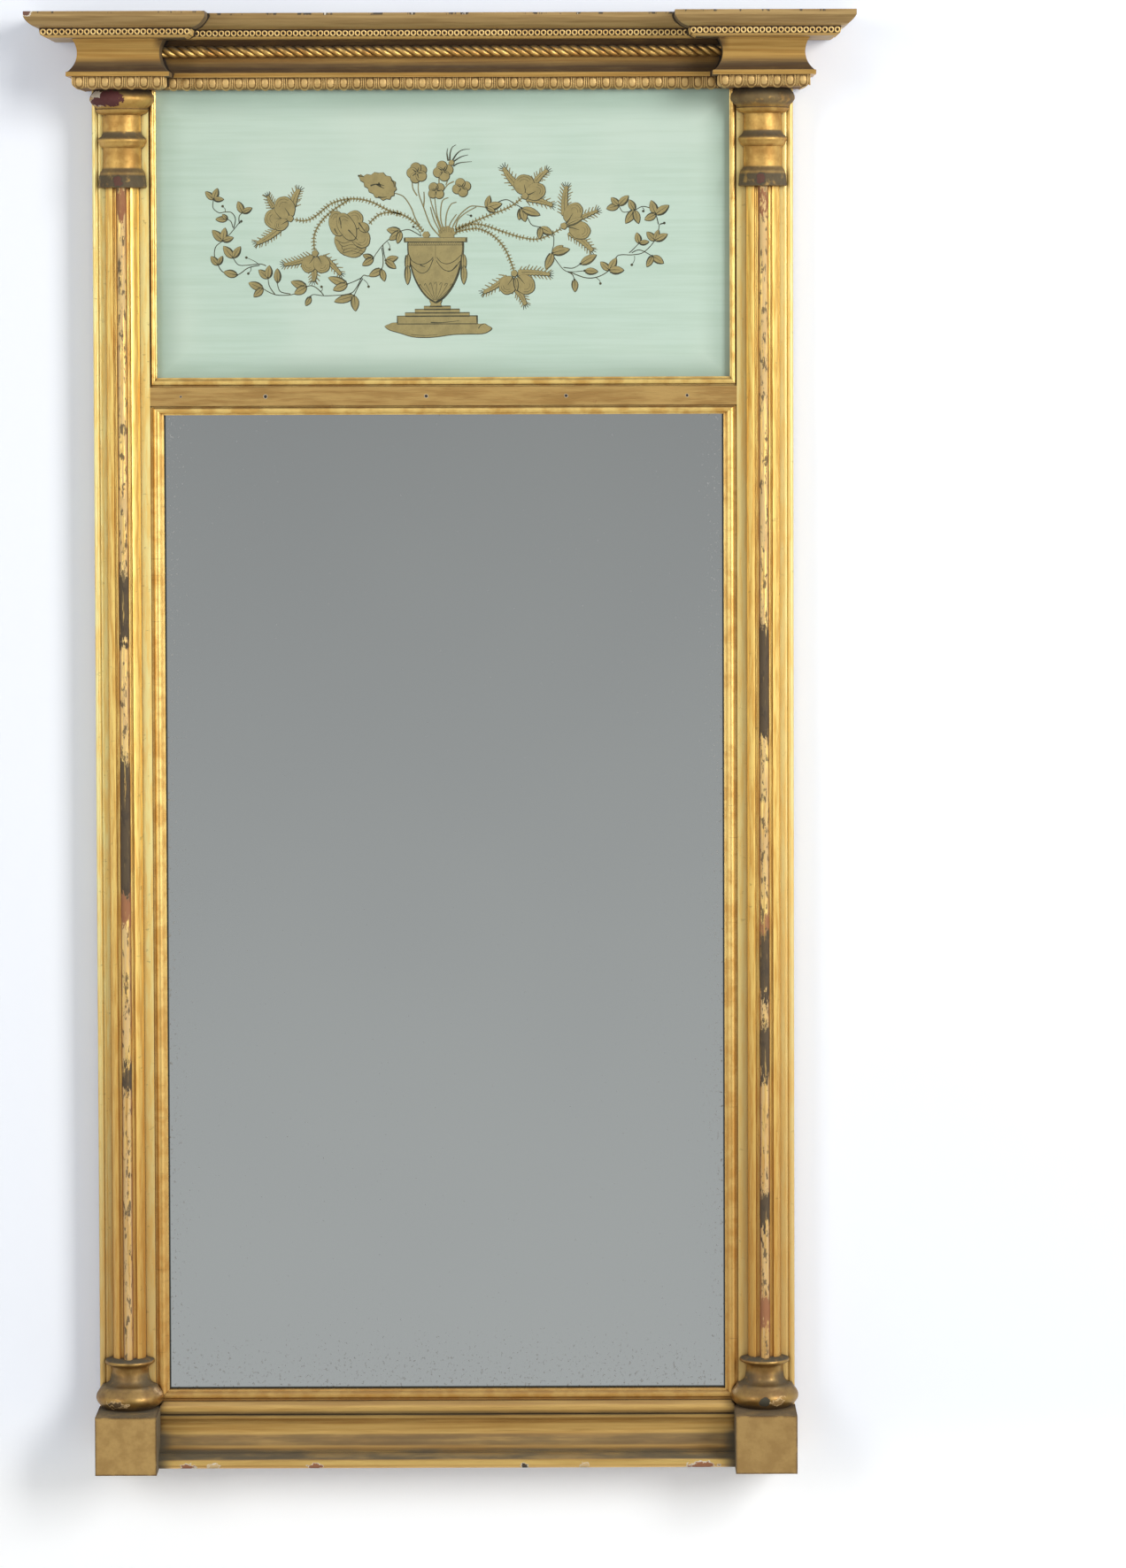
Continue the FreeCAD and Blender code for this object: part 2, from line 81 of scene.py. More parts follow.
# %% Bench for finishes
class Bench:
    def __init__(self, name):
        self.finish = bpy.data.materials.new(name)
        self.finish.use_nodes = True
        self.tree = self.finish.node_tree
        self.shader = self.tree.nodes["Principled BSDF"]
        self.place = self.add("TexCoord").outputs["Object"]

    def add(self, kind, inputs=None, **settings):
        made = self.tree.nodes.new("ShaderNode" + kind)
        for name, value in settings.items():
            setattr(made, name, value)
        for key, value in (inputs or {}).items():
            self.set(made.inputs[key], value)
        return made

    def set(self, socket, value):
        if isinstance(value, bpy.types.NodeSocket):
            self.tree.links.new(value, socket)
        else:
            socket.default_value = value

    def math(self, operation, *values):
        return self.add("Math", dict(enumerate(values)), operation=operation).outputs[0]

    def plus(self, first, second):
        return self.math("ADD", first, second)

    def less(self, first, second):
        return self.math("SUBTRACT", first, second)

    def times(self, first, second):
        return self.math("MULTIPLY", first, second)

    def most(self, first, second):
        return self.math("MAXIMUM", first, second)

    def size(self, value):
        return self.math("ABSOLUTE", value)

    def ramp(self, value, low, high, start=0.0, end=1.0):
        inputs = {0: value, 1: low, 2: high, 3: start, 4: end}
        return self.add("MapRange", inputs, interpolation_type="SMOOTHSTEP").outputs[0]

    def blend(self, share, first, second):
        made = self.add("Mix", {0: share, 6: first, 7: second}, data_type="RGBA")
        return made.outputs[2]

    def stain(self, share, tone):
        self.shade = self.blend(share, self.shade, tone)

    def cover(self, share):
        self.covered = self.most(self.covered, share)

    def stretched(self, scale):
        return self.add("Mapping", {"Vector": self.place, "Scale": scale}).outputs[0]

    def noise(self, scale, detail=3.0, roughness=0.5, place=None):
        inputs = {"Vector": place or self.place, "Scale": scale, "Detail": detail, "Roughness": roughness}
        return self.add("TexNoise", inputs).outputs[0]

    def bump(self, height, strength, distance):
        inputs = {"Height": height, "Strength": strength, "Distance": distance}
        self.set(self.shader.inputs["Normal"], self.add("Bump", inputs).outputs[0])

    def wear(self, **sockets):
        names = {"colour": "Base Color", "rough": "Roughness", "metal": "Metallic", "coat": "Coat Weight"}
        names["coat_rough"] = "Coat Roughness"
        for name, value in sockets.items():
            self.set(self.shader.inputs[names[name]], value)
        return self.finish


def colour(red, green, blue):
    # Screen colour, 0 to 255, as the linear colour that a shader takes
    def linear(level):
        level /= 255
        return level / 12.92 if level <= 0.04045 else ((level + 0.055) / 1.055) ** 2.4
    return (linear(red), linear(green), linear(blue), 1.0)


def dress(finish, *names):
    for name in names:
        mesh = node[name].data
        mesh.materials.clear()
        mesh.materials.append(finish)


# %% [markdown]
# The wall is a white sheet just behind the hangers. It glows a little, most and bluest low down, which is
# painted light that lifts the frame's shadow on it. Its back is see-through and it takes no light away,
# so a camera behind it still sees the back of the frame. A pale floor lies below. Behind the camera
# hangs a large grey screen: the mirror and the gold reflect it, which gives the plate its soft grey.


# %% Wall, floor and screen
def fix_placing():
    bpy.ops.object.transform_apply(location=True, rotation=True, scale=True)


def stage_sheet(name, size, place, turned, finish):
    bpy.ops.object.select_all(action="DESELECT")
    bpy.ops.mesh.primitive_plane_add(size=1, location=place, rotation=turned)
    sheet = bpy.context.object
    sheet.name = name
    sheet.scale = (size[0], size[1], 1)
    fix_placing()
    sheet.data.materials.append(finish)
    return sheet


wall_paint = Bench("wall_paint")
wall_paint.wear(colour=(0.93, 0.935, 0.94, 1), rough=0.9)
wall_height = wall_paint.add("SeparateXYZ", {0: wall_paint.place}).outputs[2]
below = wall_paint.ramp(wall_height, -1.06, -1.16)
# Painted light: the wall glows, most and bluest below the frame, and lifts the frame's shadow on it
shadow_lift_tint = wall_paint.blend(below, (0.28, 0.52, 1.0, 1), (0.9, 0.95, 1.0, 1))
wall_paint.set(wall_paint.shader.inputs["Emission Color"], shadow_lift_tint)
wall_paint.set(wall_paint.shader.inputs["Emission Strength"], wall_paint.ramp(below, 0, 1, 0.13, 0.18))
see_through = wall_paint.add("BsdfTransparent").outputs[0]
behind = wall_paint.add("NewGeometry").outputs["Backfacing"]
painted = wall_paint.shader.outputs[0]
wall_mix = wall_paint.add("MixShader", {0: behind, 1: painted, 2: see_through})
wall_paint.set(wall_paint.tree.nodes["Material Output"].inputs["Surface"], wall_mix.outputs[0])
floor_paint = Bench("floor_paint")
floor_paint.wear(colour=(0.8, 0.79, 0.77, 1), rough=0.8)
screen_paint = Bench("screen_paint")
height = screen_paint.add("SeparateXYZ", {0: screen_paint.place}).outputs[2]
grey = screen_paint.ramp(height, -2.6, 0.4, 0.47, 0.30)
glow = screen_paint.add("Emission", {"Color": (0.97, 1.0, 1.0, 1), "Strength": grey})
screen_paint.set(screen_paint.tree.nodes["Material Output"].inputs["Surface"], glow.outputs[0])

wall = stage_sheet("wall", (6, 6), (0, 0.0062, -0.4), (math.pi / 2, 0, 0), wall_paint.finish)
wall.visible_diffuse = wall.visible_shadow = False
stage_sheet("floor", (9, 8), (0, -3.9, -2.7), (0, 0, 0), floor_paint.finish)
stage_sheet("screen", (5.2, 5.6), (0, -6.6, -0.1), (-math.pi / 2, 0, 0), screen_paint.finish)
print("stage set")

# %% [markdown]
# Two soft boxes, the stronger on the right and above, put the paired highlights on the turned necks
# and throw the soft shadow to the left. The world is plain white to the eye and to shiny surfaces,
# and a quieter level of it fills the shade.


# %% Lamps and world
def soft_box(name, place, aim, size, watts):
    lamp = bpy.data.lights.new(name, "AREA")
    lamp.shape = "RECTANGLE"
    lamp.size, lamp.size_y = size
    lamp.energy = watts
    holder = bpy.data.objects.new(name, lamp)
    bpy.context.scene.collection.objects.link(holder)
    holder.location = place
    holder.rotation_euler = (Vector(aim) - Vector(place)).to_track_quat("-Z", "Y").to_euler()


soft_box("right_box", (2.5, -2.7, 0.6), (0, 0, -0.5), (1.2, 1.8), 92)
soft_box("left_box", (-2.3, -2.9, 0.3), (0, 0, -0.5), (1.1, 1.9), 30)
world = bpy.data.worlds.new("studio")
bpy.context.scene.world = world
world.use_nodes = True
sky = world.node_tree
rays = sky.nodes.new("ShaderNodeLightPath")
seen = rays.outputs["Is Camera Ray"]
for kind in ("Is Glossy Ray", "Is Transmission Ray"):
    either = sky.nodes.new("ShaderNodeMath")
    either.operation = "MAXIMUM"
    sky.links.new(seen, either.inputs[0])
    sky.links.new(rays.outputs[kind], either.inputs[1])
    seen = either.outputs[0]
level = sky.nodes.new("ShaderNodeMapRange")
level.inputs["To Min"].default_value = 0.40
level.inputs["To Max"].default_value = 1.0
sky.links.new(seen, level.inputs["Value"])
sky.nodes["Background"].inputs["Color"].default_value = (1, 1, 1, 1)
sky.links.new(level.outputs[0], sky.nodes["Background"].inputs["Strength"])
print("two soft boxes and the world")

# %% [markdown]
# Water gilding is leaf over red clay (bole) over white gesso on pine. Two hundred years leave grey dust
# on every upper face, brown grime in the hollows, dark worn arrises, and rubbed places where bole or
# gesso shows. Each of these is a mask: the way a face points gives dust, the nearness of other surfaces
# gives grime and painted shade in the hollows, a closer nearness paints a thin line of shade in every
# crease, a lower share paints shade that grows towards the bottom of the frame, and a rounded normal
# beside the true one finds the arrises. Marks that sit in one place, such as a chip, are added by a
# function of their own.

# %% Gilding
bole = colour(112, 46, 34)
gesso = colour(224, 214, 194)
grime_and_shade_brown = colour(56, 36, 17)
dust_grey = colour(82, 74, 58)
grime_and_shade_amber, lower_shade_amber, terracotta = colour(150, 96, 32), colour(178, 126, 58), colour(158, 104, 70)


def along(bench, axis):
    return bench.add("SeparateXYZ", {0: bench.place}).outputs[axis]


def pointing(bench, axis):
    normal = bench.add("NewGeometry").outputs["Normal"]
    return bench.add("SeparateXYZ", {0: normal}).outputs[axis]


def gilding(name, bright, deep, rough=0.3, metal=0.9, dust=0.9, grime_and_shade=0.9, crackle=0.3, arris=0.0,
            grain=(1, 1, 1), rub=0.0, grime_and_shade_colour=grime_and_shade_brown, reach=0.008, tooth=0.2, crease_shade=0.0, lower=0.0,
            marks=None):
    bench = Bench(name)
    bright, deep = colour(*bright), colour(*deep)
    mottle = bench.noise(75, 3, 0.6, bench.stretched(grain))
    fine = bench.noise(420, 3, 0.6, bench.stretched(grain))
    bench.shade = bench.blend(bench.ramp(mottle, 0.38, 0.66), bright, deep)
    bench.stain(bench.ramp(fine, 0.52, 0.75, 0, 0.3), deep)
    # Grime and painted shade: hollows close to other surfaces are darkened
    nearness = bench.add("AmbientOcclusion", {"Distance": reach}, samples=6).outputs["AO"]
    patchy = bench.ramp(mottle, 0.3, 0.6, 0.75, 1.0)
    hollow_grime_and_shade = bench.times(bench.ramp(nearness, 0.86, 0.36, 0, grime_and_shade), patchy)
    true_normal = bench.add("NewGeometry").outputs["Normal"]
    points_up = bench.add("SeparateXYZ", {0: true_normal}).outputs[2]
    settled = bench.times(bench.ramp(points_up, 0.1, 0.55, 0, dust), patchy)
    hair = bench.noise(60, 4, 0.7, bench.stretched((grain[0] * 0.5, 1, grain[2] * 9)))
    cracks = bench.ramp(hair, 0.63, 0.70, 0, crackle)
    # Painted shade: the gold is made browner towards the bottom of the frame
    if lower:
        painted_lower_shade = bench.ramp(along(bench, 2), -0.55, -1.05, 0, lower)
        bench.stain(painted_lower_shade, lower_shade_amber)
    bench.stain(hollow_grime_and_shade, grime_and_shade_colour)
    if crease_shade:
        # Painted shade: a thin dark line along every tight corner and crease
        corner_shade = bench.add("AmbientOcclusion", {"Distance": 0.0018}, samples=6).outputs["AO"]
        hollow_grime_and_shade = bench.most(hollow_grime_and_shade, bench.ramp(corner_shade, 0.72, 0.50, 0, crease_shade))
        bench.stain(bench.ramp(corner_shade, 0.72, 0.50, 0, crease_shade), grime_and_shade_brown)
    bench.stain(cracks, grime_and_shade_brown)
    bench.stain(settled, dust_grey)
    bench.covered = bench.most(settled, bench.times(hollow_grime_and_shade, 0.7))
    if arris:
        rounded = bench.add("Bevel", {"Radius": 0.0028}, samples=4).outputs[0]
        both = {0: rounded, 1: true_normal}
        agree = bench.add("VectorMath", both, operation="DOT_PRODUCT").outputs["Value"]
        worn = bench.times(bench.ramp(agree, 0.995, 0.93, 0, arris), bench.ramp(mottle, 0.28, 0.48))
        bench.stain(worn, grime_and_shade_brown)
        bench.cover(worn)
    if rub:
        spots = bench.noise(95, 5, 0.65)
        bare = bench.ramp(spots, 0.68, 0.72, 0, rub)
        bench.stain(bare, bole)
        bench.stain(bench.ramp(spots, 0.74, 0.76, 0, rub), gesso)
        bench.cover(bare)
    if marks:
        marks(bench)
    dull = bench.plus(bench.ramp(bench.covered, 0, 1, rough, 0.8), bench.ramp(fine, 0.3, 0.8, -0.04, 0.1))
    bench.bump(bench.plus(fine, bench.times(mottle, 1.5)), tooth, 0.0005)
    return bench.wear(colour=bench.shade, metal=bench.ramp(bench.covered, 0, 1, metal, 0.03), rough=dull)


# %% [markdown]
# Two more masks are used by the marks below: a band between two levels with soft edges, and a chip, which is
# a ragged loss round a point.


# %% Bands and chips
def span(bench, value, low, high, soft):
    rise = bench.ramp(value, low - soft, low + soft)
    return bench.times(rise, bench.ramp(value, high + soft, high - soft))


def chip(bench, centre, size, inside, torn=0.45, rim=0.17, edge=gesso):
    # A rim of one colour, gesso unless another is named, with a second colour inside it
    shares = [1 / length for length in size]
    moved = [-place * share for place, share in zip(centre, shares)]
    near = bench.add("Mapping", {"Vector": bench.place, "Scale": shares, "Location": moved}).outputs[0]
    reach = bench.add("VectorMath", {0: near}, operation="LENGTH").outputs["Value"]
    ragged = bench.plus(reach, bench.ramp(bench.noise(260, 4, 0.6), 0.2, 0.8, -torn, torn))
    loss = bench.ramp(ragged, 1.0, 0.95)
    bench.stain(loss, edge)
    bench.stain(bench.ramp(ragged, 1.03 - rim, 0.97 - rim), inside)
    bench.cover(loss)


# %% [markdown]
# Marks of this frame come next. The middle reed of each shaft is rubbed to a streaked cream, with stretches
# where the gilding is lost down to dark wood or clay. The grooves beside it are painted darker, as shade.

# %% Marks of the shafts
shaft_low, shaft_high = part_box("right_shaft")
column_axis = (shaft_low[0] + shaft_high[0]) / 2
stile_face = shaft_high[1]
core_low, core_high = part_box("cornice_block_right")
block_outer, block_inner, block_front = core_high[0], core_low[0], core_low[1]
frieze_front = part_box("frieze_board")[0][1]
plinth_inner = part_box("right_plinth")[0][0]
cove_foot, cove_top = (corner_shade[2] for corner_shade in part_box("cove_center"))
umber, cream, soot = colour(72, 60, 46), colour(216, 184, 132), colour(78, 70, 54)
reed_losses = [
    # side, foot, top in metres below the hangers, and the colour that shows
    (-1, -0.461, -0.404, umber), (-1, -0.659, -0.553, umber), (-1, -0.684, -0.659, terracotta),
    (1, -0.539, -0.446, umber), (1, -0.695, -0.681, terracotta), (1, -0.745, -0.695, umber),
    (1, -0.809, -0.766, umber), (-1, -0.122, -0.100, terracotta), (1, -0.115, -0.100, terracotta),
    (1, -0.930, -0.900, umber), (1, -1.010, -0.985, terracotta), (-1, -0.820, -0.800, umber),
]


def off_column(bench):
    return bench.size(bench.less(bench.size(along(bench, 0)), column_axis))


def on_right(bench, share=1.0):
    return bench.ramp(along(bench, 0), -0.01, 0.01, 0, share)


def reed_wear_and_groove_shade(bench):
    across = along(bench, 0)
    off_axis = off_column(bench)
    streaks = bench.noise(55, 4, 0.65, bench.stretched((9, 9, 0.45)))
    nicks = bench.noise(55, 4, 0.7, bench.stretched((5, 5, 1.6)))
    crest = bench.ramp(off_axis, 0.0044, 0.0036)
    rubbed = bench.times(crest, bench.ramp(streaks, 0.40, 0.56, 0.2, 0.8))
    bench.stain(rubbed, cream)
    streaked = bench.times(crest, bench.ramp(nicks, 0.54, 0.60, 0, 0.8))
    bench.stain(streaked, umber)
    # Painted shade in the grooves beside the middle reed, broken by streaks
    edge = bench.times(bench.ramp(off_axis, 0.0026, 0.0034), bench.ramp(off_axis, 0.0046, 0.0040))
    edge = bench.times(edge, bench.ramp(streaks, 0.40, 0.52, 0, 0.75))
    bench.stain(edge, colour(128, 78, 42))
    bench.cover(bench.most(rubbed, streaked))
    ragged = bench.ramp(nicks, 0.3, 0.7, -0.011, 0.011)
    for side, foot, top, showing in reed_losses:
        here = span(bench, bench.plus(along(bench, 2), ragged), foot, top, 0.002)
        here = bench.times(here, bench.ramp(bench.times(across, side), 0, 0.01))
        lost = bench.times(bench.times(here, crest), bench.ramp(streaks, 0.32, 0.42, 0.3, 0.95))
        bench.stain(lost, showing)
        bench.cover(lost)


print(len(reed_losses), "losses on the reeds")

# %% [markdown]
# Soot lies on the turnings: on the lowest collar of each capital, on the right capital's torus and on the
# shoulders of the bases, which painted shade darkens further towards their sides. Soot and painted shade
# darken the slope over each capital's ring, and the bases are painted darker towards their foot. Patches
# of gilding are lost from both.

# %% Marks of the turnings
turning_losses = [
    # centre, reach along each axis, raggedness, share of the rim, colours of the loss and its rim
    ((-0.2725, -0.046, -0.0252), (0.0070, 0.024, 0.0034), 0.30, 0.00, gesso, gesso),
    ((-0.2722, -0.046, -0.0304), (0.0105, 0.024, 0.0042), 0.30, 0.10, colour(88, 44, 42), gesso),
    ((-0.2622, -0.046, -0.0280), (0.0100, 0.024, 0.0066), 0.30, 0.00, colour(88, 44, 42), gesso),
    ((-0.2560, -0.041, -0.0930), (0.0040, 0.010, 0.0056), 0.40, 0.25, colour(96, 62, 50), soot),
    ((0.2520, -0.041, -0.0925), (0.0045, 0.010, 0.0056), 0.40, 0.25, colour(96, 62, 50), soot),
    ((-0.2640, -0.048, -1.0680), (0.0070, 0.012, 0.0034), 0.90, 0.30, colour(96, 76, 48), cream),
    ((0.2535, -0.048, -1.0665), (0.0048, 0.012, 0.0040), 0.20, 0.12, colour(66, 62, 48), umber),
    ((0.2640, -0.048, -1.0665), (0.0055, 0.012, 0.0034), 0.90, 0.30, colour(150, 118, 70), cream),
]


def turning_wear_and_shade(bench):
    up = along(bench, 2)
    collar = span(bench, up, -0.0985, -0.0880, 0.0012)
    flare = span(bench, up, -0.0880, -0.0825, 0.0012)
    # Soot and painted shade on the slope above each capital's ring
    ring_slope_soot_and_shade = span(bench, up, -0.0592, -0.0540, 0.0010)
    shoulder_soot_and_shade = span(bench, up, -1.0570, -1.0455, 0.003)
    # Soot with painted shade that grows towards the sides, where the round turns away
    shoulder_soot_and_shade = bench.times(shoulder_soot_and_shade, bench.ramp(off_column(bench), 0.004, 0.016, 0.4, 1.0))
    upward = bench.ramp(pointing(bench, 2), 0.35, 0.7)
    ring_top = bench.times(span(bench, up, -1.0380, -1.0300, 0.001), upward)
    torus = bench.times(span(bench, up, -0.0340, -0.0215, 0.002), on_right(bench))
    patches = bench.noise(130, 4, 0.65)
    dirt_and_painted_light = bench.most(bench.times(collar, 0.92), bench.times(shoulder_soot_and_shade, 0.85))
    dirt_and_painted_light = bench.most(dirt_and_painted_light, bench.times(torus, 0.75))
    dirt_and_painted_light = bench.most(dirt_and_painted_light, bench.most(ring_top, bench.times(ring_slope_soot_and_shade, 0.8)))
    dirt_and_painted_light = bench.most(dirt_and_painted_light, bench.times(flare, 0.5))
    dirt_and_painted_light = bench.times(dirt_and_painted_light, bench.ramp(patches, 0.34, 0.48, 0.35, 1.0))
    # The bases are painted darker towards their foot
    bench.stain(bench.ramp(up, -1.020, -1.040, 0, 0.48), colour(92, 72, 44))
    bench.stain(dirt_and_painted_light, soot)
    bench.cover(dirt_and_painted_light)
    for centre, size, torn, rim, showing, edge in turning_losses:
        chip(bench, centre, size, showing, torn, rim, edge)


print(len(turning_losses), "losses on the turnings")

# %% [markdown]
# The inner and outer sides of the plinths are painted dark. The right plinth and stile are painted a little
# darker than the left ones, as shade, and the backs of the stiles were never gilded.


# %% Marks of plinths and stiles
def darkened_plinth_sides(bench):
    dark = bench.ramp(bench.size(pointing(bench, 0)), 0.6, 0.85, 0, 0.9)
    # Painted shade: the right plinth is a little darker than the left
    bench.stain(on_right(bench, 0.2), colour(128, 100, 62))
    bench.stain(dark, soot)
    bench.cover(dark)


def pine_tone(bench):
    rings = bench.noise(18, 4, 0.6, bench.stretched((7, 7, 0.6)))
    return bench.blend(bench.ramp(rings, 0.35, 0.65), colour(150, 112, 70), colour(112, 78, 46))


def stile_shade_and_bare_back(bench):
    # Painted shade: the right stile is a little darker than the left
    bench.stain(on_right(bench, 0.4), colour(218, 180, 106))
    to_wall = bench.ramp(pointing(bench, 1), 0.6, 0.8)
    bench.stain(to_wall, pine_tone(bench))
    bench.cover(to_wall)


# %% [markdown]
# The cornice has moved with the seasons: its inner mitres stand open and dark. The coves are darker towards
# their foot, painted shadow lies over the rope in the middle, the crown's top edge is chipped, and pins in
# the cross rail have rusted through.


# %% Marks of cornice and rail
def open_mitres(bench):
    # At an inner mitre the way in from the block equals the way out from the frieze
    inward = bench.less(block_inner, bench.size(along(bench, 0)))
    forward = bench.less(frieze_front, along(bench, 1))
    off = bench.size(bench.less(inward, forward))
    wander = bench.ramp(bench.noise(140, 3), 0.3, 0.7, 0.0007, 0.0020)
    crack = bench.ramp(bench.less(off, wander), 0.0004, 0)
    bench.stain(bench.times(crack, 0.9), colour(34, 24, 16))
    bench.cover(crack)


def bead_fillet(bench):
    # The plain fillet along the foot of the ring beads is kept bright gold, out of the strip's painted shade
    fillet = bench.ramp(along(bench, 2), cove_top + 0.0022, cove_top + 0.0016)
    bench.stain(fillet, colour(206, 168, 100))
    open_mitres(bench)


pin_holes = [
    # place across and radius
    (-0.209, 0.0010), (-0.1416, 0.0017), (-0.0138, 0.0015), (0.0976, 0.0015), (0.194, 0.0013),
]


def rail_pins(bench):
    low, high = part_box("cross_rail")
    for across, size in pin_holes:
        place = (across, low[1], (low[2] + high[2]) / 2)
        chip(bench, place, (size, 0.01, size), colour(52, 44, 34), 0.2)


def cove_darkening_and_shadow(bench):
    up = along(bench, 2)
    foot = bench.ramp(up, cove_foot + 0.017, cove_foot + 0.0045, 0, 0.78)
    inside = bench.ramp(bench.size(along(bench, 0)), block_inner + 0.004, block_inner - 0.004)
    # Painted shadow over the rope, in the middle length under the crown
    shadow_over_rope = bench.times(bench.ramp(up, cove_top - 0.012, cove_top - 0.004, 0, 0.85), inside)
    lip = bench.ramp(up, cove_foot + 0.0044, cove_foot + 0.0036)
    dark = bench.most(bench.times(foot, bench.less(1.0, lip)), shadow_over_rope)
    bands = bench.noise(40, 4, 0.6, bench.stretched((1, 1, 5)))
    dark = bench.times(dark, bench.ramp(bands, 0.25, 0.6, 0.6, 1.0))
    bench.stain(dark, colour(66, 42, 20))
    bench.cover(bench.times(dark, 0.8))
    open_mitres(bench)


def crown_chips(bench):
    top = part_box("crown_center")[1][2]
    edge = bench.ramp(along(bench, 2), top - 0.0022, top - 0.001)
    bits = bench.noise(95, 4, 0.7, bench.stretched((1, 1, 0.3)))
    bare = bench.times(edge, bench.ramp(bits, 0.55, 0.6))
    bench.stain(bare, umber)
    bench.stain(bench.times(edge, bench.ramp(bits, 0.65, 0.67)), gesso)
    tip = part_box("crown_left_outer")[0][0]
    chip(bench, (tip, -0.094, top), (0.0075, 0.02, 0.0040), colour(116, 82, 66))
    bench.cover(bare)
    open_mitres(bench)


print(len(pin_holes), "pins in the cross rail")

# %% [markdown]
# Level bands are painted on the foot moulding: dirt and painted shade in its hollows, and a bright band
# of painted highlight along the foot torus. Painted shade darkens the corners against the plinths, and
# the moulding's lower edge has been knocked down to the clay and gesso in places.

# %% Marks of the foot
foot_bands_dirt_and_light = [
    # lower and upper edge, share and colour of each band; the dark ones are dirt and painted shade, the
    # bright one a painted highlight
    (-1.0816, -1.0774, 0.6, soot), (-1.0880, -1.0822, 0.4, colour(112, 72, 30)),
    (-1.1042, -1.0960, 0.7, colour(92, 76, 54)), (-1.1122, -1.1062, 0.95, soot),
    # Painted highlight: a bright band along the foot torus
    (-1.1165, -1.1130, 0.7, colour(250, 214, 130)),
]
foot_losses = [
    # place across, half length and the colour that shows
    (-0.207, 0.0064, terracotta), (-0.186, 0.0050, cream), (-0.105, 0.006, terracotta),
    (0.204, 0.0135, terracotta), (0.062, 0.003, umber), (0.11, 0.004, cream),
]


def foot_chips(bench):
    front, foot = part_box("base_moulding")[0][1:]
    up = along(bench, 2)
    patches = bench.noise(40, 4, 0.6, bench.stretched((0.4, 1, 3)))
    for low, high, share, band_tone in foot_bands_dirt_and_light:
        band = span(bench, up, low, high, 0.0009)
        dirt_and_painted_light = bench.times(band, bench.ramp(patches, 0.3, 0.6, share * 0.5, share))
        bench.stain(dirt_and_painted_light, band_tone)
        if share > 0.9:
            bench.cover(dirt_and_painted_light)
    # Painted shade in the corners against the plinths
    corner_shade = bench.ramp(bench.size(along(bench, 0)), plinth_inner - 0.013, plinth_inner - 0.001)
    corner_shade = bench.times(corner_shade, bench.ramp(up, -1.088, -1.099, 0, 0.85))
    bench.stain(corner_shade, soot)
    bench.cover(corner_shade)
    for across, size, showing in foot_losses:
        place = (across, front + 0.003, foot + 0.002)
        chip(bench, place, (size, 0.02, 0.0035), showing)


# The dark bands are dirt and painted shade, the bright band a painted highlight
print(len(foot_bands_dirt_and_light), "bands of dirt and", len(foot_losses), "losses on the foot")

# %% [markdown]
# Not every member was gilded alike. The stiles and beads are bright and burnished, the plinths matt, the
# crown a dull tan, the coves orange-brown, and the ornaments dark in their hollows with grime and painted
# shade. The ground of the ring beads is painted dark as shade, and the inner returns of the cornice are
# dark with dust and painted shade.

# %% Gilded members
stile_gold = gilding("stile_gilding", (255, 240, 164), (252, 216, 126), 0.36, 0.28, grime_and_shade=0.5, rub=0.3,
                     grime_and_shade_colour=grime_and_shade_amber, reach=0.004, grain=(4, 4, 0.4), tooth=0.08, crease_shade=0.9, lower=0.6,
                     marks=stile_shade_and_bare_back)
burnished = gilding("bead_gilding", (246, 212, 128), (220, 174, 92), 0.36, 0.6, dust=0.4, rub=0.3,
                    grime_and_shade_colour=grime_and_shade_amber, reach=0.004, tooth=0.08, crease_shade=0.9, lower=0.6)
rail_gold = gilding("rail_gilding", (198, 162, 98), (172, 134, 76), 0.40, 0.6, rub=0.4,
                    grain=(0.3, 1, 3), marks=rail_pins)
plinth_gold = gilding("plinth_gilding", (186, 152, 92), (168, 134, 78), 0.55, 0.5, arris=1.0,
                      crackle=0.12, marks=darkened_plinth_sides)
foot_gold = gilding("foot_gilding", (220, 180, 106), (200, 156, 86), 0.36, 0.8, dust=0.45, arris=0.25,
                    grain=(0.12, 1, 4), marks=foot_chips)
shaft_gold = gilding("shaft_gilding", (250, 216, 124), (222, 172, 84), 0.32, 0.7, grime_and_shade=1.0, grime_and_shade_colour=grime_and_shade_amber,
                     reach=0.006, grain=(5, 5, 0.4), tooth=0.1, crease_shade=1.0, lower=0.7, marks=reed_wear_and_groove_shade)
column_gold = gilding("turning_gilding", (202, 164, 92), (174, 132, 68), 0.55, 0.8, dust=0.6, grime_and_shade=1.0,
                      reach=0.006, crease_shade=0.9, marks=turning_wear_and_shade)
base_gold = gilding("base_turning_gilding", (206, 166, 94), (174, 130, 68), 0.40, 0.85, dust=0.4,
                    grime_and_shade=1.0, reach=0.006, crease_shade=0.9, marks=turning_wear_and_shade)
crown_gold = gilding("crown_gilding", (180, 150, 98), (158, 128, 80), 0.45, 0.6, crackle=0.7,
                     grain=(0.2, 1, 5), marks=crown_chips)
cove_gold = gilding("cove_gilding", (214, 172, 98), (190, 144, 76), 0.34, 0.85, grain=(0.12, 1, 6),
                    marks=cove_darkening_and_shadow)
# The inner returns of the cornice are dark with dust and painted shade
returns_dust_and_shade = gilding("return_gilding", (126, 106, 76), (96, 80, 58), 0.6, 0.35, marks=open_mitres)
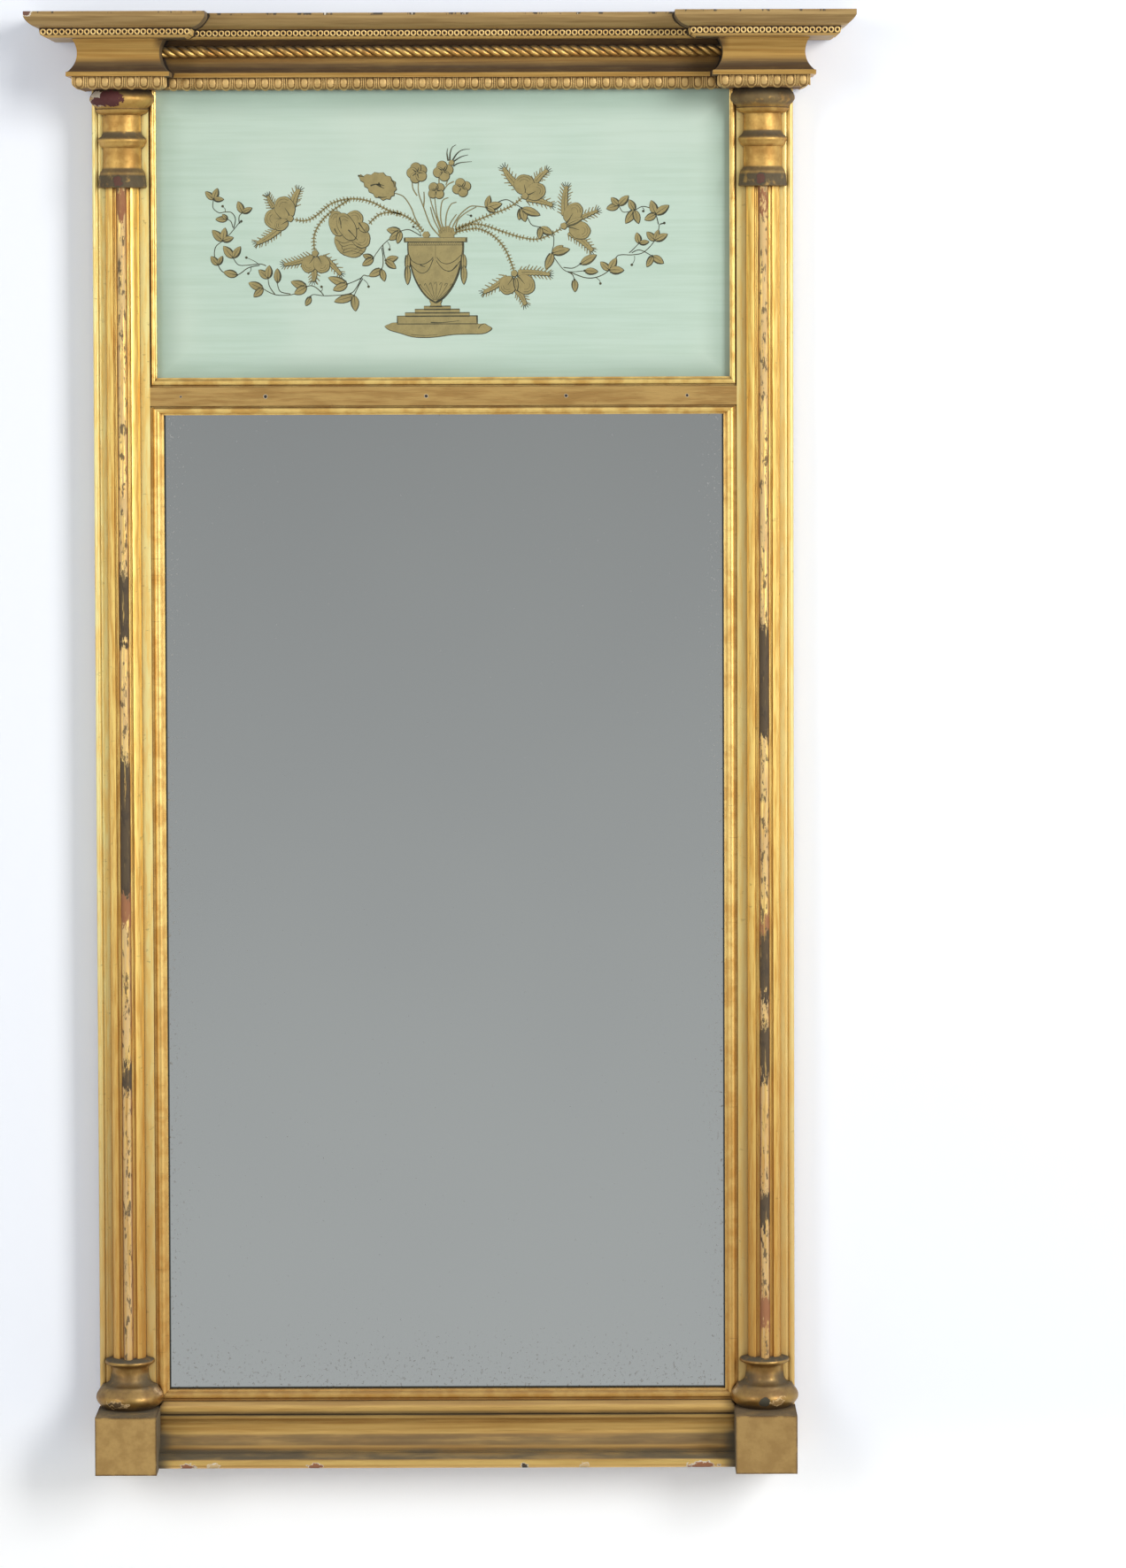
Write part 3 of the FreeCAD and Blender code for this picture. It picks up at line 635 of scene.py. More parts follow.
# Painted shade: the ground between the ring beads is nearly black
bead_ground = gilding("bead_ground", (66, 45, 22), (46, 31, 16), 0.6, 0.4, grime_and_shade=1.0, marks=bead_fillet)
leaf_ground = gilding("leaf_ground", (164, 130, 76), (132, 102, 56), 0.5, 0.5, grime_and_shade=0.6,
                      marks=open_mitres)
ornament_gold = gilding("ornament_gilding", (244, 210, 138), (220, 182, 112), 0.52, 0.55, grime_and_shade=0.8,
                        reach=0.002, marks=open_mitres)
leaf_gold = gilding("leaf_tip_gilding", (216, 182, 118), (196, 162, 100), 0.55, 0.45, grime_and_shade=0.6,
                    reach=0.002, marks=open_mitres)
rope_gold = gilding("rope_gilding", (214, 174, 100), (172, 126, 64), 0.42, 0.85, grime_and_shade=1.0, reach=0.004)
dress(stile_gold, "left_stile", "right_stile")
dress(burnished, *(name for name in node if "_bead_" in name))
dress(rail_gold, "cross_rail")
dress(plinth_gold, "left_plinth", "right_plinth")
dress(foot_gold, "base_moulding")
dress(shaft_gold, "left_shaft", "right_shaft")
dress(crown_gold, *(name for name in node if name.startswith("crown_")))
dress(cove_gold, *(name for name in node if name.startswith("cove_")))
dress(returns_dust_and_shade, *(name for name in node if name.endswith("_inner")))
dress(bead_ground, *(name for name in node if name.startswith("pearl_")))
dress(leaf_ground, *(name for name in node if name.startswith("leaf_")))
print("gilding laid on")

# %% [markdown]
# The mirror is old silvering behind thin glass: a grey metal with dark pits and a spotted border. Along the
# rebate runs a painted dark seam, which stands for the shadow and reflection of the back of the bead.

# %% Silvering
silver = Bench("old_silvering")
low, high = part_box("mirror_plate")
side = silver.add("SeparateXYZ", {0: silver.place})
off_centre = silver.size(side.outputs[0])
border = silver.ramp(off_centre, high[0] - 0.04, high[0] - 0.008)
foot = silver.ramp(side.outputs[2], low[2] + 0.075, low[2] + 0.02)
edge = silver.most(border, foot)
pits = silver.noise(420, 3, 0.6)
spots = silver.ramp(silver.plus(pits, silver.times(edge, 0.10)), 0.69, 0.74)
bright_silver, dull_silver = (0.78, 0.80, 0.795, 1), (0.755, 0.775, 0.775, 1)
tarnish = silver.blend(silver.ramp(silver.noise(3, 2), 0.3, 0.7), bright_silver, dull_silver)
sight_side, sight_foot = -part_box("mirror_bead_left")[1][0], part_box("mirror_bead_bottom")[1][2]
# Painted shadow and reflection of the bead along the sight edges
painted_seam_shade = silver.ramp(off_centre, sight_side - 0.0016, sight_side - 0.0008)
painted_seam_shade = silver.most(painted_seam_shade, silver.ramp(side.outputs[2], sight_foot + 0.0022, sight_foot + 0.0010))
tarnish = silver.blend(silver.times(spots, 0.6), tarnish, (0.10, 0.10, 0.09, 1))
silver_finish = silver.wear(
    colour=silver.blend(silver.times(painted_seam_shade, 0.92), tarnish, (0.03, 0.035, 0.03, 1)),
    metal=1.0,
    rough=silver.ramp(spots, 0, 1, 0.06, 0.5),
)
dress(silver_finish, "mirror_plate")
print("silvering laid on")

# %% [markdown]
# The tablet's ground is pale green paint brushed on the back of the glass. The brush left faint level
# streaks. Along the rebate, most in the corners, painted shade darkens the paint. A clear coat stands for
# the glass in front of it.

# %% Painted ground
ground = Bench("painted_ground")
low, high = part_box("tablet_glass")
side = ground.add("SeparateXYZ", {0: ground.place})
streaks = ground.noise(30, 4, 0.6, ground.stretched((0.35, 1, 9)))
clouds = ground.noise(7, 3)
paint = ground.blend(ground.ramp(streaks, 0.35, 0.7), colour(195, 217, 201), colour(187, 210, 192))
paint = ground.blend(ground.ramp(clouds, 0.4, 0.7, 0, 0.7), paint, colour(206, 222, 207))
middle_up = (low[2] + high[2]) / 2
half_up = (high[2] - low[2]) / 2
off_side = ground.size(side.outputs[0])
off_level = ground.size(ground.less(side.outputs[2], middle_up))
# Painted shade of the frame along the rebate, deepest in the corners
near_side = ground.ramp(off_side, high[0] - 0.032, high[0] - 0.002)
near_level = ground.ramp(off_level, half_up - 0.03, half_up - 0.004)
rim = ground.most(near_side, near_level)
rim = ground.times(rim, ground.ramp(clouds, 0.3, 0.7, 0.5, 1.0))
paint = ground.blend(ground.times(rim, 0.72), paint, colour(130, 158, 140))
ground_finish = ground.wear(colour=paint, rough=0.5, coat=1.0, coat_rough=0.03)
dress(ground_finish, "tablet_glass")
print("ground painted")

# %% [markdown]
# The back is plain old pine: saw-cut boards gone brown, with iron brads and brass hangers.

# %% Pine, brass and steel
pine = Bench("old_pine")
grain = pine.noise(90, 5, 0.7, pine.stretched((6, 6, 0.35)))
wood = pine.blend(pine.ramp(grain, 0.5, 0.75, 0, 0.6), pine_tone(pine), colour(82, 55, 32))
pine.bump(grain, 0.3, 0.0006)
pine_finish = pine.wear(colour=wood, rough=pine.ramp(grain, 0.3, 0.7, 0.6, 0.8))
dress(pine_finish, "top_rail", "bottom_rail", "frieze_board", "mirror_backboard", "tablet_backboard")
dress(pine_finish, "mirror_wedges", "tablet_wedges", "cornice_block_left", "cornice_block_right")
brass = Bench("dull_brass")
tarnish = brass.noise(300, 4)
brass_finish = brass.wear(
    colour=brass.blend(brass.ramp(tarnish, 0.4, 0.7), colour(190, 150, 84), colour(120, 88, 46)),
    metal=1.0,
    rough=brass.ramp(tarnish, 0.3, 0.7, 0.3, 0.55),
)
dress(brass_finish, "hanger_straps", "hanger_loop_left", "hanger_loop_right")
steel = Bench("dark_steel")
rust = steel.noise(900, 3)
steel_finish = steel.wear(
    colour=steel.blend(steel.ramp(rust, 0.45, 0.65), colour(120, 116, 110), colour(92, 62, 44)),
    metal=steel.ramp(rust, 0.45, 0.65, 0.9, 0.2),
    rough=0.55,
)
dress(steel_finish, "hanger_screws", "backboard_brads")
print("back dressed")

# %% [markdown]
# New pieces are shaped with the tools of Blender's edit mode. These few helpers do what a hand would
# do between two steps: put the selection down, take a piece up, join, clean, and settle it in place.

# %% Hand tools
MM = 0.001


def put_down():
    if bpy.context.mode != "OBJECT":
        bpy.ops.object.mode_set(mode="OBJECT")
    bpy.ops.object.select_all(action="DESELECT")


def take(*pieces):
    put_down()
    for piece in pieces:
        piece.select_set(True)
    bpy.context.view_layer.objects.active = pieces[0]
    return pieces[0]


def edit(piece):
    take(piece)
    bpy.ops.object.mode_set(mode="EDIT")
    bpy.ops.mesh.select_all(action="SELECT")


def joined(pieces):
    take(*pieces)
    if len(pieces) > 1:
        bpy.ops.object.join()
    return bpy.context.object


def cleaned(piece):
    edit(piece)
    bpy.ops.mesh.remove_doubles(threshold=0.002 * MM)
    bpy.ops.mesh.normals_make_consistent(inside=False)
    put_down()
    return piece


def discard(*pieces):
    for piece in pieces:
        bpy.data.objects.remove(piece)


def linked(name, mesh):
    made = bpy.data.objects.new(name, mesh)
    bpy.context.scene.collection.objects.link(made)
    return made


def fill_openings():
    bpy.ops.mesh.select_all(action="DESELECT")
    bpy.ops.mesh.select_non_manifold()
    bpy.ops.mesh.edge_face_add()


def mirrored(piece):
    mesh = piece.data.copy()
    mesh.transform(Matrix.Scale(-1, 4, (1, 0, 0)))
    mesh.flip_normals()
    return linked(piece.name, mesh)


def settle(piece, name, finish, slot, *replaced, body="frame", angle=38):
    take(piece)
    fix_placing()
    bpy.ops.object.shade_smooth_by_angle(angle=math.radians(angle))
    piece.name = piece.data.name = name
    piece.data.materials.clear()
    piece.data.materials.append(finish)
    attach(piece, body)
    if replaced:
        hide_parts(*replaced)
    print(name, len(piece.data.polygons), "faces")
    return piece


# %% [markdown]
# The column bases and capitals were turned on a lathe in one round and then sawn in half. Spin does the
# same: one vertex is extruded along the profile, the profile is spun half a turn in front of the stile,
# and the flat sawn back is filled. Arcs of the profile are stepped out by a helper.


# %% Turnings
def bow(start, end, swell, steps):
    # Points of a bowed line after its start; a positive swell bows to the right of the way
    (x0, y0), (x1, y1) = start, end
    points = []
    for step in range(1, steps + 1):
        share = step / steps
        lift = swell * math.sin(math.pi * share)
        length = math.hypot(x1 - x0, y1 - y0)
        across, along = (y1 - y0) / length, -(x1 - x0) / length
        points.append((x0 + (x1 - x0) * share + across * lift, y0 + (y1 - y0) * share + along * lift))
    return points


def profile(*stations):
    # Radius and height in millimetres; a swell and a number of steps make the way there a bow
    points = [stations[0]]
    for before, (radius, up, *bend) in zip(stations, stations[1:]):
        points += bow(before[:2], (radius, up), *bend) if bend else [(radius, up)]
    return points


def thread(points):
    put_down()
    bpy.ops.mesh.primitive_plane_add(size=MM, location=points[0])
    bpy.ops.object.mode_set(mode="EDIT")
    bpy.ops.mesh.select_all(action="SELECT")
    bpy.ops.mesh.merge(type="CENTER")
    for here, there in zip(points, points[1:]):
        bpy.ops.mesh.extrude_region_move(TRANSFORM_OT_translate={"value": tuple(there - here)})
    return bpy.context.object


def half_turned(outline, axis, face, foot):
    points = [Vector((axis + radius * MM, face, foot + up * MM)) for radius, up in outline]
    piece = thread(points)
    bpy.ops.mesh.select_all(action="SELECT")
    bpy.ops.mesh.spin(steps=30, angle=math.pi, center=(axis, face, 0), axis=(0, 0, 1))
    bpy.ops.mesh.select_all(action="SELECT")
    bpy.ops.mesh.remove_doubles(threshold=0.002 * MM)
    fill_openings()
    take(piece)
    fix_placing()
    return cleaned(piece)


base_profile = profile(
    (0, 0), (21.6, 0), (23.0, 16.2, 4.8, 13), (19.6, 18.8, 0.9, 5), (15.2, 25.4, -1.4, 7), (14.9, 27.0),
    (14.7, 31.6), (18.9, 35.2, -0.9, 5), (19.3, 38.4, 0.9, 6), (18.5, 39.2), (13.0, 40.6), (0, 40.6),
)
base_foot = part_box("column_bases")[0][2]
right_base = half_turned(base_profile, column_axis, stile_face, base_foot)
bases = joined([right_base, mirrored(right_base)])
settle(bases, "turned_bases", base_gold, "gilt_wood", "column_bases")

capital_profile = profile(
    (0, 0), (18.8, 0), (19.2, 0.5), (18.3, 9.8), (17.9, 10.3), (16.6, 13.4, 0.4, 4), (15.2, 17.0, -0.5, 4),
    (15.2, 30.4), (15.5, 31.3), (18.4, 35.2, 0.7, 5), (18.6, 39.1, 0.8, 6), (18.0, 39.7),
    (15.2, 43.9, -0.6, 5), (15.2, 57.4), (16.2, 58.0), (21.2, 61.6, 0.9, 6), (20.3, 62.6), (20.6, 63.4),
    (22.0, 77.0, 4.4, 14), (21.4, 77.5), (0, 77.5),
)
capital_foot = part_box("column_capitals")[0][2]
right_capital = half_turned(capital_profile, column_axis, stile_face, capital_foot)
capitals = joined([right_capital, mirrored(right_capital)])
settle(capitals, "turned_capitals", column_gold, "gilt_wood", "column_capitals")

# %% [markdown]
# Three small ornaments run round the cornice: ring beads under the crown, a twisted rope in the middle
# cove and a row of leaf tips at the foot. Each was pressed in a mould and glued on. One motif is
# modelled, and copies of it are spaced along every length of the cornice, turned to face outward.

# %% Runs of the cornice
def cornice_runs(projection, up):
    # Start, end and outward direction of each length at this projection from the core
    outer, inner = block_outer + projection, block_inner - projection
    front, middle = block_front - projection, frieze_front - projection
    right = [
        ((outer, 0, up), (outer, front, up), (1, 0, 0)),
        ((outer, front, up), (inner, front, up), (0, -1, 0)),
        ((inner, front, up), (inner, middle, up), (-1, 0, 0)),
    ]
    left = [((-a[0], a[1], up), (-b[0], b[1], up), (-out[0], out[1], 0)) for a, b, out in right]
    return {"right": right, "left": left, "center": [((inner, middle, up), (-inner, middle, up), (0, -1, 0))]}


def row(motif, start, end, outward, pitch, tilt=0.0):
    # Copies of a motif in even steps, its own Z turned outward and its Y upward
    start, end = Vector(start), Vector(end)
    count = max(1, round((end - start).length / pitch))
    out = (Vector(outward) + Vector((0, 0, tilt))).normalized()
    across = Vector((0, 0, 1)).cross(out).normalized()
    facing = Matrix((across, out.cross(across), out)).transposed().to_4x4()
    copies = []
    for step in range(count):
        facing.translation = start.lerp(end, (step + 0.5) / count)
        mesh = motif.data.copy()
        mesh.transform(facing)
        copies.append(linked(motif.name, mesh))
    return copies


# %% [markdown]
# A ring bead is a small eyelet pressed onto its strip: a torus flattened a little and half sunk. The
# strip's own shape stays as it is, and its gilding is painted dark between the rings as shade.

# %% Ring beads
ring_radius, ring_thickness, ring_pitch = 1.72 * MM, 0.64 * MM, 4.9 * MM
ring_sunk, ring_height, ring_tilt = 0.25 * MM, 4.5 * MM, -0.21
put_down()
bpy.ops.mesh.primitive_torus_add(
    major_segments=12, minor_segments=6, major_radius=ring_radius, minor_radius=ring_thickness
)
ring = bpy.context.object
bpy.ops.object.mode_set(mode="EDIT")
bpy.ops.mesh.select_all(action="SELECT")
bpy.ops.transform.resize(value=(1, 1.12, 0.9))
put_down()
strip_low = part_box("pearl_strip_center")[0]
ring_reach = frieze_front - strip_low[1] - ring_sunk
ring_up = strip_low[2] + ring_height
for place, runs in cornice_runs(ring_reach, ring_up).items():
    beads = []
    for start, end, outward in runs:
        beads += row(ring, start, end, outward, ring_pitch, ring_tilt)
    settle(joined(beads), "ring_beads_" + place, ornament_gold, "gilt_ornament", angle=60)
discard(ring)

# %% [markdown]
# A leaf tip is a flat tongue inside a raised U. The U is a bevelled curve made into a mesh, the tongue a
# flattened ball. Below the middle the strip curves back like a quarter round, so the motif bends with it.


# %% Leaf tips
def bevelled_line(points, radius, sides=1, closed=False, steps=3):
    line = bpy.data.curves.new("line", "CURVE")
    line.dimensions = "3D"
    line.bevel_depth = radius
    line.bevel_resolution = sides
    line.resolution_u = steps
    line.use_fill_caps = not closed
    spline = line.splines.new("NURBS")
    spline.points.add(len(points) - 1)
    for point, place in zip(spline.points, points):
        point.co = (*place, 1)
    spline.order_u = 3
    spline.use_endpoint_u = not closed
    spline.use_cyclic_u = closed
    take(linked("line", line))
    bpy.ops.object.convert(target="MESH")
    return cleaned(bpy.context.object)


tongue_size, tongue_up = (2.5 * MM, 4.4 * MM, 0.45 * MM), 0.3 * MM
rim_radius, rim_proud, dart_across, tip_pitch = 0.6 * MM, 0.1 * MM, 5.15 * MM, 10.3 * MM
fall_start, fall_back = 4.6 * MM, 4.2 * MM
put_down()
bpy.ops.mesh.primitive_uv_sphere_add(segments=8, ring_count=6, radius=1, rotation=(math.pi / 2, 0, 0))
tongue = bpy.context.object
fix_placing()
tongue.scale = tongue_size
tongue.location = (0, tongue_up, 0)
fix_placing()
u_points = [(-3.75, 4.6), (-3.75, 1.0), (-3.6, -3.6), (0, -5.4), (3.6, -3.6), (3.75, 1.0), (3.75, 4.6)]
rim = bevelled_line([(x * MM, y * MM, rim_proud) for x, y in u_points], rim_radius)
dart = bevelled_line([(dart_across, y * MM, rim_proud) for y in (-3.9, 0.5, 4.2)], rim_radius)
leaf_tip = joined([tongue, rim, dart])
take(leaf_tip)
fix_placing()
leaf_low, leaf_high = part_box("leaf_strip_center")
leaf_middle = (leaf_high[2] - leaf_low[2]) / 2
for vertex in leaf_tip.data.vertices:
    below = max(0, fall_start - (vertex.co.y + leaf_middle)) / fall_start
    vertex.co.z -= fall_back * below ** 3
leaf_reach = frieze_front - leaf_low[1]
for place, runs in cornice_runs(leaf_reach, leaf_low[2] + leaf_middle).items():
    tips = []
    for start, end, outward in runs:
        tips += row(leaf_tip, start, end, outward, tip_pitch)
    settle(joined(tips), "leaf_tips_" + place, leaf_gold, "gilt_ornament", angle=60)
discard(leaf_tip)

# %% [markdown]
# The rope is a three-lobed rod with a twist. A circle is pinched into lobes, and a Screw modifier
# carries it along the cove while it turns, which lays the strands.

# %% Twisted rope
strands, strand_pitch, waist = 3, 7.9 * MM, 0.60
rope_low, rope_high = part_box("rope_strip")
rope_radius = (rope_high[2] - rope_low[2]) / 2
rope_length = rope_high[0] - rope_low[0]
rope_turns = round(rope_length / (strands * strand_pitch))
put_down()
bpy.ops.mesh.primitive_circle_add(vertices=24, radius=rope_radius, rotation=(0, math.pi / 2, 0))
rope = bpy.context.object
fix_placing()
for vertex in rope.data.vertices:
    about = math.atan2(vertex.co.z, vertex.co.y)
    lobe = abs(math.cos(strands / 2 * about))
    vertex.co *= waist + (1 - waist) * lobe ** 0.6
twist = rope.modifiers.new("twist", "SCREW")
twist.axis = "X"
twist.angle = 2 * math.pi
twist.screw_offset = rope_length / rope_turns
twist.iterations = rope_turns
twist.steps = twist.render_steps = 22
twist.use_merge_vertices = False
bpy.ops.object.modifier_apply(modifier=twist.name)
edit(rope)
fill_openings()
put_down()
rope.location = (rope_low[0], rope_low[1] + rope_radius, (rope_low[2] + rope_high[2]) / 2)
settle(cleaned(rope), "twisted_rope", rope_gold, "gilt_ornament", "rope_strip", angle=60)

# %% [markdown]
# Each hanger loop is round brass wire bent to a D. A closed curve with round handles follows the bends,
# and its bevel gives the wire its thickness. The loops ride on their own bodies and swing in the eyes.

# %% Hanger loops
wire_radius = 1.3 * MM
loop_outline = [
    # point, handle before, handle after, in millimetres across and down from the eye
    ((-8, 0), (-10.2, 0), (-3, 0)),
    ((8, 0), (3, 0), (10.2, 0)),
    ((12, 4), (12, 1.8), (12, 6)),
    ((12, 10), (12, 8), (12, 16.6)),
    ((0, 22), (6.6, 22), (-6.6, 22)),
    ((-12, 10), (-12, 16.6), (-12, 8)),
    ((-12, 4), (-12, 6), (-12, 1.8)),
]
for side_name in ("left", "right"):
    loop_low, loop_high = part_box("hanger_loop_" + side_name)
    middle = Vector(((loop_low[0] + loop_high[0]) / 2, (loop_low[1] + loop_high[1]) / 2, 0))
    line = bpy.data.curves.new("loop", "CURVE")
    line.dimensions = "3D"
    line.bevel_depth = wire_radius
    line.bevel_resolution = 3
    line.resolution_u = 8
    spline = line.splines.new("BEZIER")
    spline.bezier_points.add(len(loop_outline) - 1)
    spline.use_cyclic_u = True
    for point, places in zip(spline.bezier_points, loop_outline):
        point.handle_left_type = point.handle_right_type = "FREE"
        here, before, after = (middle + Vector((x * MM, 0, -drop * MM)) for x, drop in places)
        point.co, point.handle_left, point.handle_right = here, before, after
    take(linked("loop", line))
    bpy.ops.object.convert(target="MESH")
    wire = cleaned(bpy.context.object)
    settle(wire, "wire_loop_" + side_name, brass_finish, "hanger_brass", "hanger_loop_" + side_name,
           body=side_name + "_loop", angle=80)

# %% [markdown]
# The tablet's design is gold leaf laid on the back of the glass and drawn over in dark ink: a footed urn
# with flowers, arching feathered stems and two leafy garlands, the stock of a neoclassical decorator. A
# shape of leaf is a flat face, and a slightly larger one of ink lies just under it as its outline. All
# faces of a kind become one thin mesh. Curves run smoothly through a few chosen points. Sizes are in
# millimetres: lines narrow from a first width to a second, and hairs have a length and a spacing.

# %% Leaf and ink
glass_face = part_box("tablet_glass")[0][1]
design_middle = (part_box("tablet_bead_bottom")[1][2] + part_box("tablet_bead_left")[1][2]) / 2
film, first_film, leaf_thickness = 0.012, 0.06, 0.05
outline_width, shade_shift = 0.48, 0.24
hair_ink, hair_leaf = (1.1, 0.65), (0.7, 0.4)
stem_hair, frond_hair = (2.3, 2.5), (3.9, 2.7)
design_share, design_right, design_up = 0.994, -0.9, 2.2
steady = random.Random(11)


def doubled_area(outline):
    # Below zero when the outline runs clockwise
    return sum(a[0] * b[1] - b[0] * a[1] for a, b in zip(outline, outline[1:] + outline[:1]))


class Leafwork:
    # Flat shapes in millimetres across and up from the middle of the tablet, each on its own film
    def __init__(self):
        self.points, self.faces = [], []

    def lay(self, outline, layer):
        if doubled_area(outline) < 0:
            outline = outline[::-1]
        start = len(self.points)
        depth = glass_face - (first_film + layer * film) * MM
        self.points += [
            ((across * design_share + design_right) * MM, depth, design_middle + (up + design_up) * MM)
            for across, up in outline
        ]
        self.faces.append(list(range(start, len(self.points))))

    def line(self, path, layer, width, tip=None):
        # A ribbon along a path that narrows from its width to its tip
        tip = width if tip is None else tip
        last = len(path) - 1
        left, right = [], []
        for step, (x, y) in enumerate(path):
            (x0, y0), (x1, y1) = path[max(0, step - 1)], path[min(last, step + 1)]
            length = math.hypot(x1 - x0, y1 - y0) or 1
            half = (width + (tip - width) * step / last) / 2
            across, along = -(y1 - y0) / length * half, (x1 - x0) / length * half
            left.append((x + across, y + along))
            right.append((x - across, y - along))
        for step in range(last):
            self.lay([left[step], left[step + 1], right[step + 1], right[step]], layer)

    def made(self, name, finish):
        mesh = bpy.data.meshes.new(name)
        mesh.from_pydata(self.points, [], self.faces)
        piece = take(linked(name, mesh))
        wall = piece.modifiers.new("thickness", "SOLIDIFY")
        wall.thickness = leaf_thickness * MM
        wall.offset = -1
        bpy.ops.object.modifier_apply(modifier=wall.name)
        return settle(piece, name, finish, "painted_glass")


leafing, inking = Leafwork(), Leafwork()
print("design laid out about", round(design_middle, 4))

# %% [markdown]
# A few drawing tools follow: an outline grown by the width of its ink, a gilt shape with that outline, a
# curve through points, an outline turned about a place, a point at some reach from another, and the
# direction of a path.


# %% Drawing tools
def tell(what):
    print(what, "drawn,", len(leafing.faces), "faces of leaf so far")


def grown(outline, by):
    made = []
    by = by if doubled_area(outline) > 0 else -by
    for step, (x, y) in enumerate(outline):
        (x0, y0), (x1, y1) = outline[step - 1], outline[(step + 1) % len(outline)]
        length = math.hypot(x1 - x0, y1 - y0) or 1
        made.append((x + (y1 - y0) / length * by, y - (x1 - x0) / length * by))
    return made


def gilt(outline, layer=2, ink=outline_width):
    # The ink lies a little to the lower right, so the outline is broader on its shaded side
    inking.lay([(x + shade_shift, y - shade_shift) for x, y in grown(outline, ink)], layer)
    leafing.lay(outline, layer + 0.5)


def smooth(points, steps=8):
    # A curve through the points, each stretch eased by its neighbours
    ends = [points[0], *points, points[-1]]
    path = []
    for before, start, end, after in zip(ends, ends[1:], ends[2:], ends[3:]):
        for step in range(steps):
            t = step / steps
            path.append(tuple(
                0.5 * (2 * b + (c - a) * t + (2 * a - 5 * b + 4 * c - d) * t * t
                       + (3 * b - a - 3 * c + d) * t ** 3)
                for a, b, c, d in zip(before, start, end, after)
            ))
    return path + [points[-1]]


def turned_about(outline, place, angle):
    cos, sin = math.cos(angle), math.sin(angle)
    return [(place[0] + x * cos - y * sin, place[1] + x * sin + y * cos) for x, y in outline]


def off(place, reach, angle):
    return (place[0] + reach * math.cos(angle), place[1] + reach * math.sin(angle))


def way(path, step):
    (x0, y0), (x1, y1) = path[max(0, step - 1)], path[min(len(path) - 1, step + 1)]
    return math.atan2(y1 - y0, x1 - x0)


# %% [markdown]
# Small motifs come first: a lobed outline for petals and knots, a pointed leaf with its vein, sprigs of such
# leaves, a berry on a stalk, and the hairs that fringe the stems and fronds.


# %% Leaves, berries and hairs
def lobed(place, radius, lobes, depth, turn=0.0, squash=1.0, angle=0.0, steps=5):
    outline = []
    for number in range(lobes * steps):
        about = 2 * math.pi * number / (lobes * steps)
        reach = radius * (1 - depth + depth * abs(math.cos(lobes * (about - turn) / 2)) ** 0.7)
        outline.append((reach * math.cos(about), reach * squash * math.sin(about)))
    return turned_about(outline, place, angle)


def leaf(place, angle, length, width, layer=3):
    stations = (0, 0.08, 0.22, 0.4, 0.6, 0.78, 0.92, 1)
    upper = [(length * share, width / 2 * math.sin(math.pi * share ** 0.85) ** 0.8) for share in stations]
    lower = [(x, -y) for x, y in upper[-2:0:-1]]
    gilt(turned_about(upper + lower, place, angle), layer)
    vein = [(0, 0), (length * 0.4, width * 0.04), (length * 0.75, 0)]
    inking.line(turned_about(vein, place, angle), layer + 1, 0.6, 0.2)
    shade_shares = ((0.08, 0.26), (0.3, 0.42), (0.6, 0.42), (0.9, 0.2))
    shade = [(length * along, -width * across) for along, across in shade_shares]
    inking.line(turned_about(shade, place, angle), layer + 1, 1.3, 0.4)


def sprig(place, *leaves):
    # Leaves from one knot, each given by its direction in degrees and its length
    for number, (degrees, length) in enumerate(leaves):
        width = min(length * steady.uniform(0.48, 0.58), 6.2)
        leaf(place, math.radians(degrees), length, width, 3 + number * 2)
    inking.lay(lobed(place, 1.0, 1, 0, steps=8), 10)


def berry(start, end):
    middle = ((start[0] + end[0]) / 2 + 1.0, (start[1] + end[1]) / 2)
    inking.line(smooth([start, middle, end], 4), 1, 0.5, 0.4)
    inking.lay(lobed(end, 1.1, 1, 0, steps=8), 2)


def hairs(path, length, spacing, lean=1.25, layer=1, sides=(1, -1)):
    walked = spacing
    for step in range(1, len(path)):
        walked += math.dist(path[step - 1], path[step])
        if walked < spacing:
            continue
        walked = 0
        for side in sides:
            angle = way(path, step) + side * lean + steady.uniform(-0.15, 0.15)
            reach = length * steady.uniform(0.75, 1.15)
            strand = [path[step], off(path[step], reach, angle)]
            inking.line(strand, layer, *hair_ink)
            leafing.line(strand, layer + 0.5, *hair_leaf)


# %% [markdown]
# Larger motifs are made of these: a feathered stem, a frond, a ribbed petal, a bloom of petals over fronds,
# and a round-lobed pansy.


# %% Stems, fronds and flowers
def feathered(*points):
    path = smooth(points, 24)
    hairs(path, *stem_hair)
    inking.line(path, 1, 1.35, 1.1)
    leafing.line(path, 1.5, 1.0, 0.75)


def frond(start, end, width):
    # A feathered tongue that ends in a fringe
    length = math.dist(start, end)
    angle = math.atan2(end[1] - start[1], end[0] - start[0])
    shares = [step / 18 for step in range(19)]
    spine = [(length * share, math.sin(share * 3) * width * 0.15) for share in shares]
    edge = []
    for step, (x, y) in enumerate(spine):
        half = width * 0.36 * (1 - 0.6 * (x / length) ** 2)
        edge.append((x, y + half + 0.5 * (step % 2)))
    other = [(x, 2 * y - upper) for (x, upper), (_, y) in zip(edge, spine)]
    gilt(turned_about(edge + other[::-1], start, angle), 2)
    hairs(turned_about(edge, start, angle), *frond_hair, 0.95, sides=(1,))
    hairs(turned_about(other, start, angle), *frond_hair, 0.95, sides=(-1,))
    for lean in (-0.6, -0.2, 0.2, 0.6):
        root = (length, lean * width * 0.4)
        inking.line(turned_about([root, off(root, 3.4, lean)], start, angle), 1, 0.8, 0.4)
    inking.line(turned_about(spine[2:15], start, angle), 3, 0.4, 0.2)


